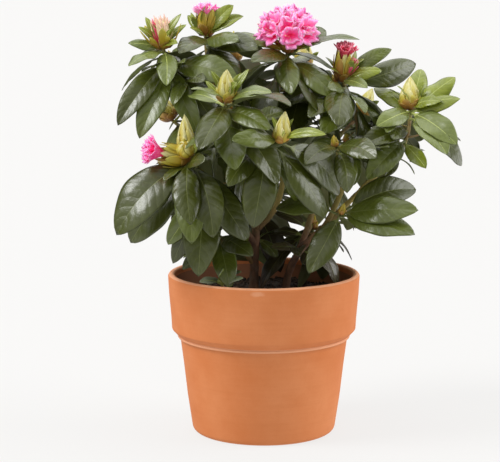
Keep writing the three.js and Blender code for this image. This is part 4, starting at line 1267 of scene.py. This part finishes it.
def open_truss(base, axis, rng):
    """A dome of open florets round its middle, over the parted bud scales."""
    axis = unit(axis + np.array([-0.16, -0.08, 0]))
    middle = base + 0.40 * TRUSS_HEIGHT * axis
    for k in range(FLORETS):
        up = 0.98 - 0.90 * (k + 0.5) / FLORETS
        out = around(axis, math.acos(up), k * GOLDEN + rng.uniform(-0.25, 0.25))
        throat = middle + 0.28 * TRUSS_RADIUS * out
        length = rng.uniform(*FLORET_LENGTH) * (1 - 0.24 * up * up)
        mouth = rng.uniform(*FLORET_MOUTH)
        # Florets that face upwards take the paler pink, a painted highlight from the light above.
        tone = int(out[2] > FADED_ABOVE)
        pink_blocks.append(floret_block(throat, out, length, mouth, rng, tone=tone))
        stamens.extend(stamen_blocks(throat + 6 * out, out, length - 6, rng))
    bud = sunk(base, axis, (9, 20), 0, cup_radius)
    olive_blocks.append(core_block(bud, 0.7))
    scaled_bud(bud, rng, [(5, 0.0, 0.5, 0.7, 1.2, 4.5, brown_blocks),
                          (6, 0.05, 0.85, 0.45, 0.7, 7, olive_blocks)])


def leftward_cluster(base, rng):
    """A tall bud, a round one before it, and one that blooms out to the side."""
    upright, forward = unit(np.array([-0.05, 0, 1])), unit(np.array([-0.12, -1, 0.9]))
    leftward = unit(np.array([-0.95, -0.3, 0.2]))
    closed_bud(base + TALL_LIFT * upright, upright, TALL_BUD, rng)
    round_bud = (base + SIDE_LIFT * forward, forward, *SIDE_BUD, barrel_radius)
    olive_blocks.append(core_block(round_bud))
    scaled_bud(round_bud, rng, [
        (4, 0.0, 0.45, 0.75, 1.0, 0.8, brown_blocks), (5, 0.05, 0.75, 0.62, 0.7, 0.2, olive_blocks),
        (5, 0.2, 0.95, 0.6, 0.4, 0, olive_blocks), (4, 0.4, 1.0, 0.75, 0.2, 0, cream_blocks),
    ])
    length = BLOOM_SHARE * BLOOM_BUD[1]
    parted_bud(base, leftward, (BLOOM_BUD[0], length), 0.86, rng)
    tuft(base + 0.86 * length * leftward, leftward, pink_blocks, rng,
         count=13, length=22, mouth=8.5, spread=0.6)


def upper_left_tufts(base, axis, rng):
    """Pale pink florets that lean out of a parted bud."""
    axis = unit(axis + np.array([0.2, 0, 0]))
    parted_bud(base, axis, OPENING, 0.74, rng)
    heading = unit(axis + np.array([-0.38, -0.1, 0]))
    tuft(base + 0.42 * OPENING[1] * axis, heading, pink_blocks, rng,
         count=12, length=20.5, mouth=8.5, spread=0.6, tone=1)


def upper_right_pair(base, axis, rng):
    """One bud that shows deep rose at its top, with a smaller one leaning out beside it."""
    parted_bud(base, axis, ROSE_BUD, 0.86, rng, brown_blocks)
    tuft(base + 0.66 * OPENING[1] * axis, axis, rose_blocks, rng,
         count=10, length=20, mouth=7.8, spread=0.45)
    aside = unit(axis + np.array([0.55, -0.2, 0]))
    parted_bud(base + 5 * aside, aside, SMALL_ROSE_BUD, 0.9, rng, rose_blocks)
    tuft(base + 18 * aside, aside, rose_blocks, rng, count=4, length=10, mouth=3.6, spread=0.3)


bracts = []
for name, kind, tip, axis in heads:
    if kind == "bud":
        closed_bud(tip, axis, BUDS.get(name, BUD), rng)
    elif name == "foliage_upper_left" and kind == "opening":
        pale_bud(tip, axis, OPENING, rng)
    elif name == "foliage_upper_right" and kind == "opening":
        upper_right_pair(tip, axis, rng)
    elif kind == "opening":
        upper_left_tufts(tip, axis, rng)
    elif kind == "truss":
        open_truss(tip, axis, rng)
    elif kind == "cluster":
        leftward_cluster(tip, rng)
    else:
        resting_bud(tip, axis, REST_BUD if kind == "rest" else TIP_BUD, rng)
    foot = tip - 1.5 * axis
    for offset in SET_BRACTS.get(name, []) if kind != "rest" else []:
        bracts.append(new_leaf(foot, tip + np.array(offset), np.linalg.norm(offset), named=True,
                               aspect=SET_BRACT_ASPECT, shoot=name))
    if kind in ("bud", "opening", "truss") and name not in SET_BRACTS:
        e1, e2 = cross_axes(axis)
        for k in range(BRACTS):
            rise = rng.uniform(0.6, 1.2)
            a = 2.4 * k + rng.uniform(-0.4, 0.4)
            length = rng.uniform(24, 37)
            out = math.cos(a) * e1 + math.sin(a) * e2
            reach = length * (math.cos(rise) * out + math.sin(rise) * axis)
            bracts.append(new_leaf(foot, foot + reach, length, aspect=BRACT_ASPECT, shoot=name))

for tint, blocks, finish in (("cream", cream_blocks, cream), ("olive", olive_blocks, olive),
                             ("brown", brown_blocks, brown)):
    finish_joined("bud_scales_" + tint, blocks, [finish], "flower_bud", *SHOOTS)
flowering = sorted({name for name, kind, _, _ in heads if kind in ("opening", "truss", "cluster")})
for tint, blocks, finishes in (("pink", pink_blocks, [pink, faded]), ("rose", rose_blocks, [rose]),
                               ("pale", pale_blocks, [pale])):
    finish_joined("petals_" + tint, blocks, finishes, "blossom", *flowering)
filament = mottled_finish("filament", 0.5, (400, 2), 0.4, 0.6, (0.95, 0.42, 0.50),
                          (0.85, 0.60, 0.30))
finish_joined("stamens", stamens, [filament], "blossom", *flowering)
finish_leaves("bracts", bracts, LEAF_FINISHES["leaves_new"], rng)

# ---- The studio ----
# A seamless white paper floor, three large soft lights from the upper left, the right and behind,
# and a pale room with one broad bright panel above to the left.
CAMERA_PLACE = (-0.01519, -1.880, 0.50305)
CAMERA_DIP = 8.52
LENS = 125.2
FLOOR_SIZE = 300
FLOOR_GLOW = 0.77
PANEL_PLACE = (-0.45, -0.45, 0.77)
PANEL_EDGE = (0.55, 0.85)
ROOM_LIGHT, PANEL_LIGHT = 0.16, 0.9


def soft_sun(name, bearing, rise, spread, strength):
    """Even light from a bearing off the front, positive to the right, and a height, in degrees."""
    light = bpy.data.lights.new(name, "SUN")
    light.energy, light.angle = strength, math.radians(spread)
    lamp = bpy.data.objects.new(name, light)
    bpy.context.collection.objects.link(lamp)
    lamp.rotation_euler = (math.radians(90 - rise), 0, math.radians(bearing))


soft_sun("key", bearing=-74, rise=46, spread=26, strength=2.25)
soft_sun("side", bearing=88, rise=24, spread=50, strength=2.3)
soft_sun("back", bearing=165, rise=58, spread=70, strength=1.6)

bm = bmesh.new()
bmesh.ops.create_grid(bm, x_segments=1, y_segments=1, size=FLOOR_SIZE)
floor = bpy.data.objects.new("floor", to_mesh(bm, "floor"))
bpy.context.collection.objects.link(floor)
paper = new_finish("studio_paper", (0.11, 0.11, 0.11), Roughness=0.9, Specular_IOR_Level=0,
                   Emission_Color=(1.0, 0.992, 0.978, 1), Emission_Strength=FLOOR_GLOW)[0]
floor.data.materials.append(paper)
floor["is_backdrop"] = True

world = bpy.data.worlds.new("studio")
bpy.context.scene.world = world
world.use_nodes = True
tree = world.node_tree
tree.nodes["Background"].inputs["Color"].default_value = (1.0, 0.995, 0.98, 1)
sky = node(tree, "TexCoord").outputs["Generated"]
panel = node(tree, "MapRange", {
    "Value": vector_calc(tree, "DOT_PRODUCT", sky, PANEL_PLACE),
    "From Min": PANEL_EDGE[0], "From Max": PANEL_EDGE[1],
    "To Min": ROOM_LIGHT, "To Max": PANEL_LIGHT,
}).outputs["Result"]
tree.links.new(panel, tree.nodes["Background"].inputs["Strength"])

camera = bpy.data.objects.new("camera", bpy.data.cameras.new("camera"))
bpy.context.collection.objects.link(camera)
camera.location = CAMERA_PLACE
camera.rotation_euler = (math.radians(90 - CAMERA_DIP), 0, 0)
camera.data.sensor_width = 36
camera.data.lens = LENS
bpy.context.scene.camera = camera
bpy.context.scene.view_settings.view_transform = "Standard"

drawn_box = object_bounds()
boxes = {"cad": [list(corner) for corner in cad_box], "visual": [list(corner) for corner in drawn_box]}
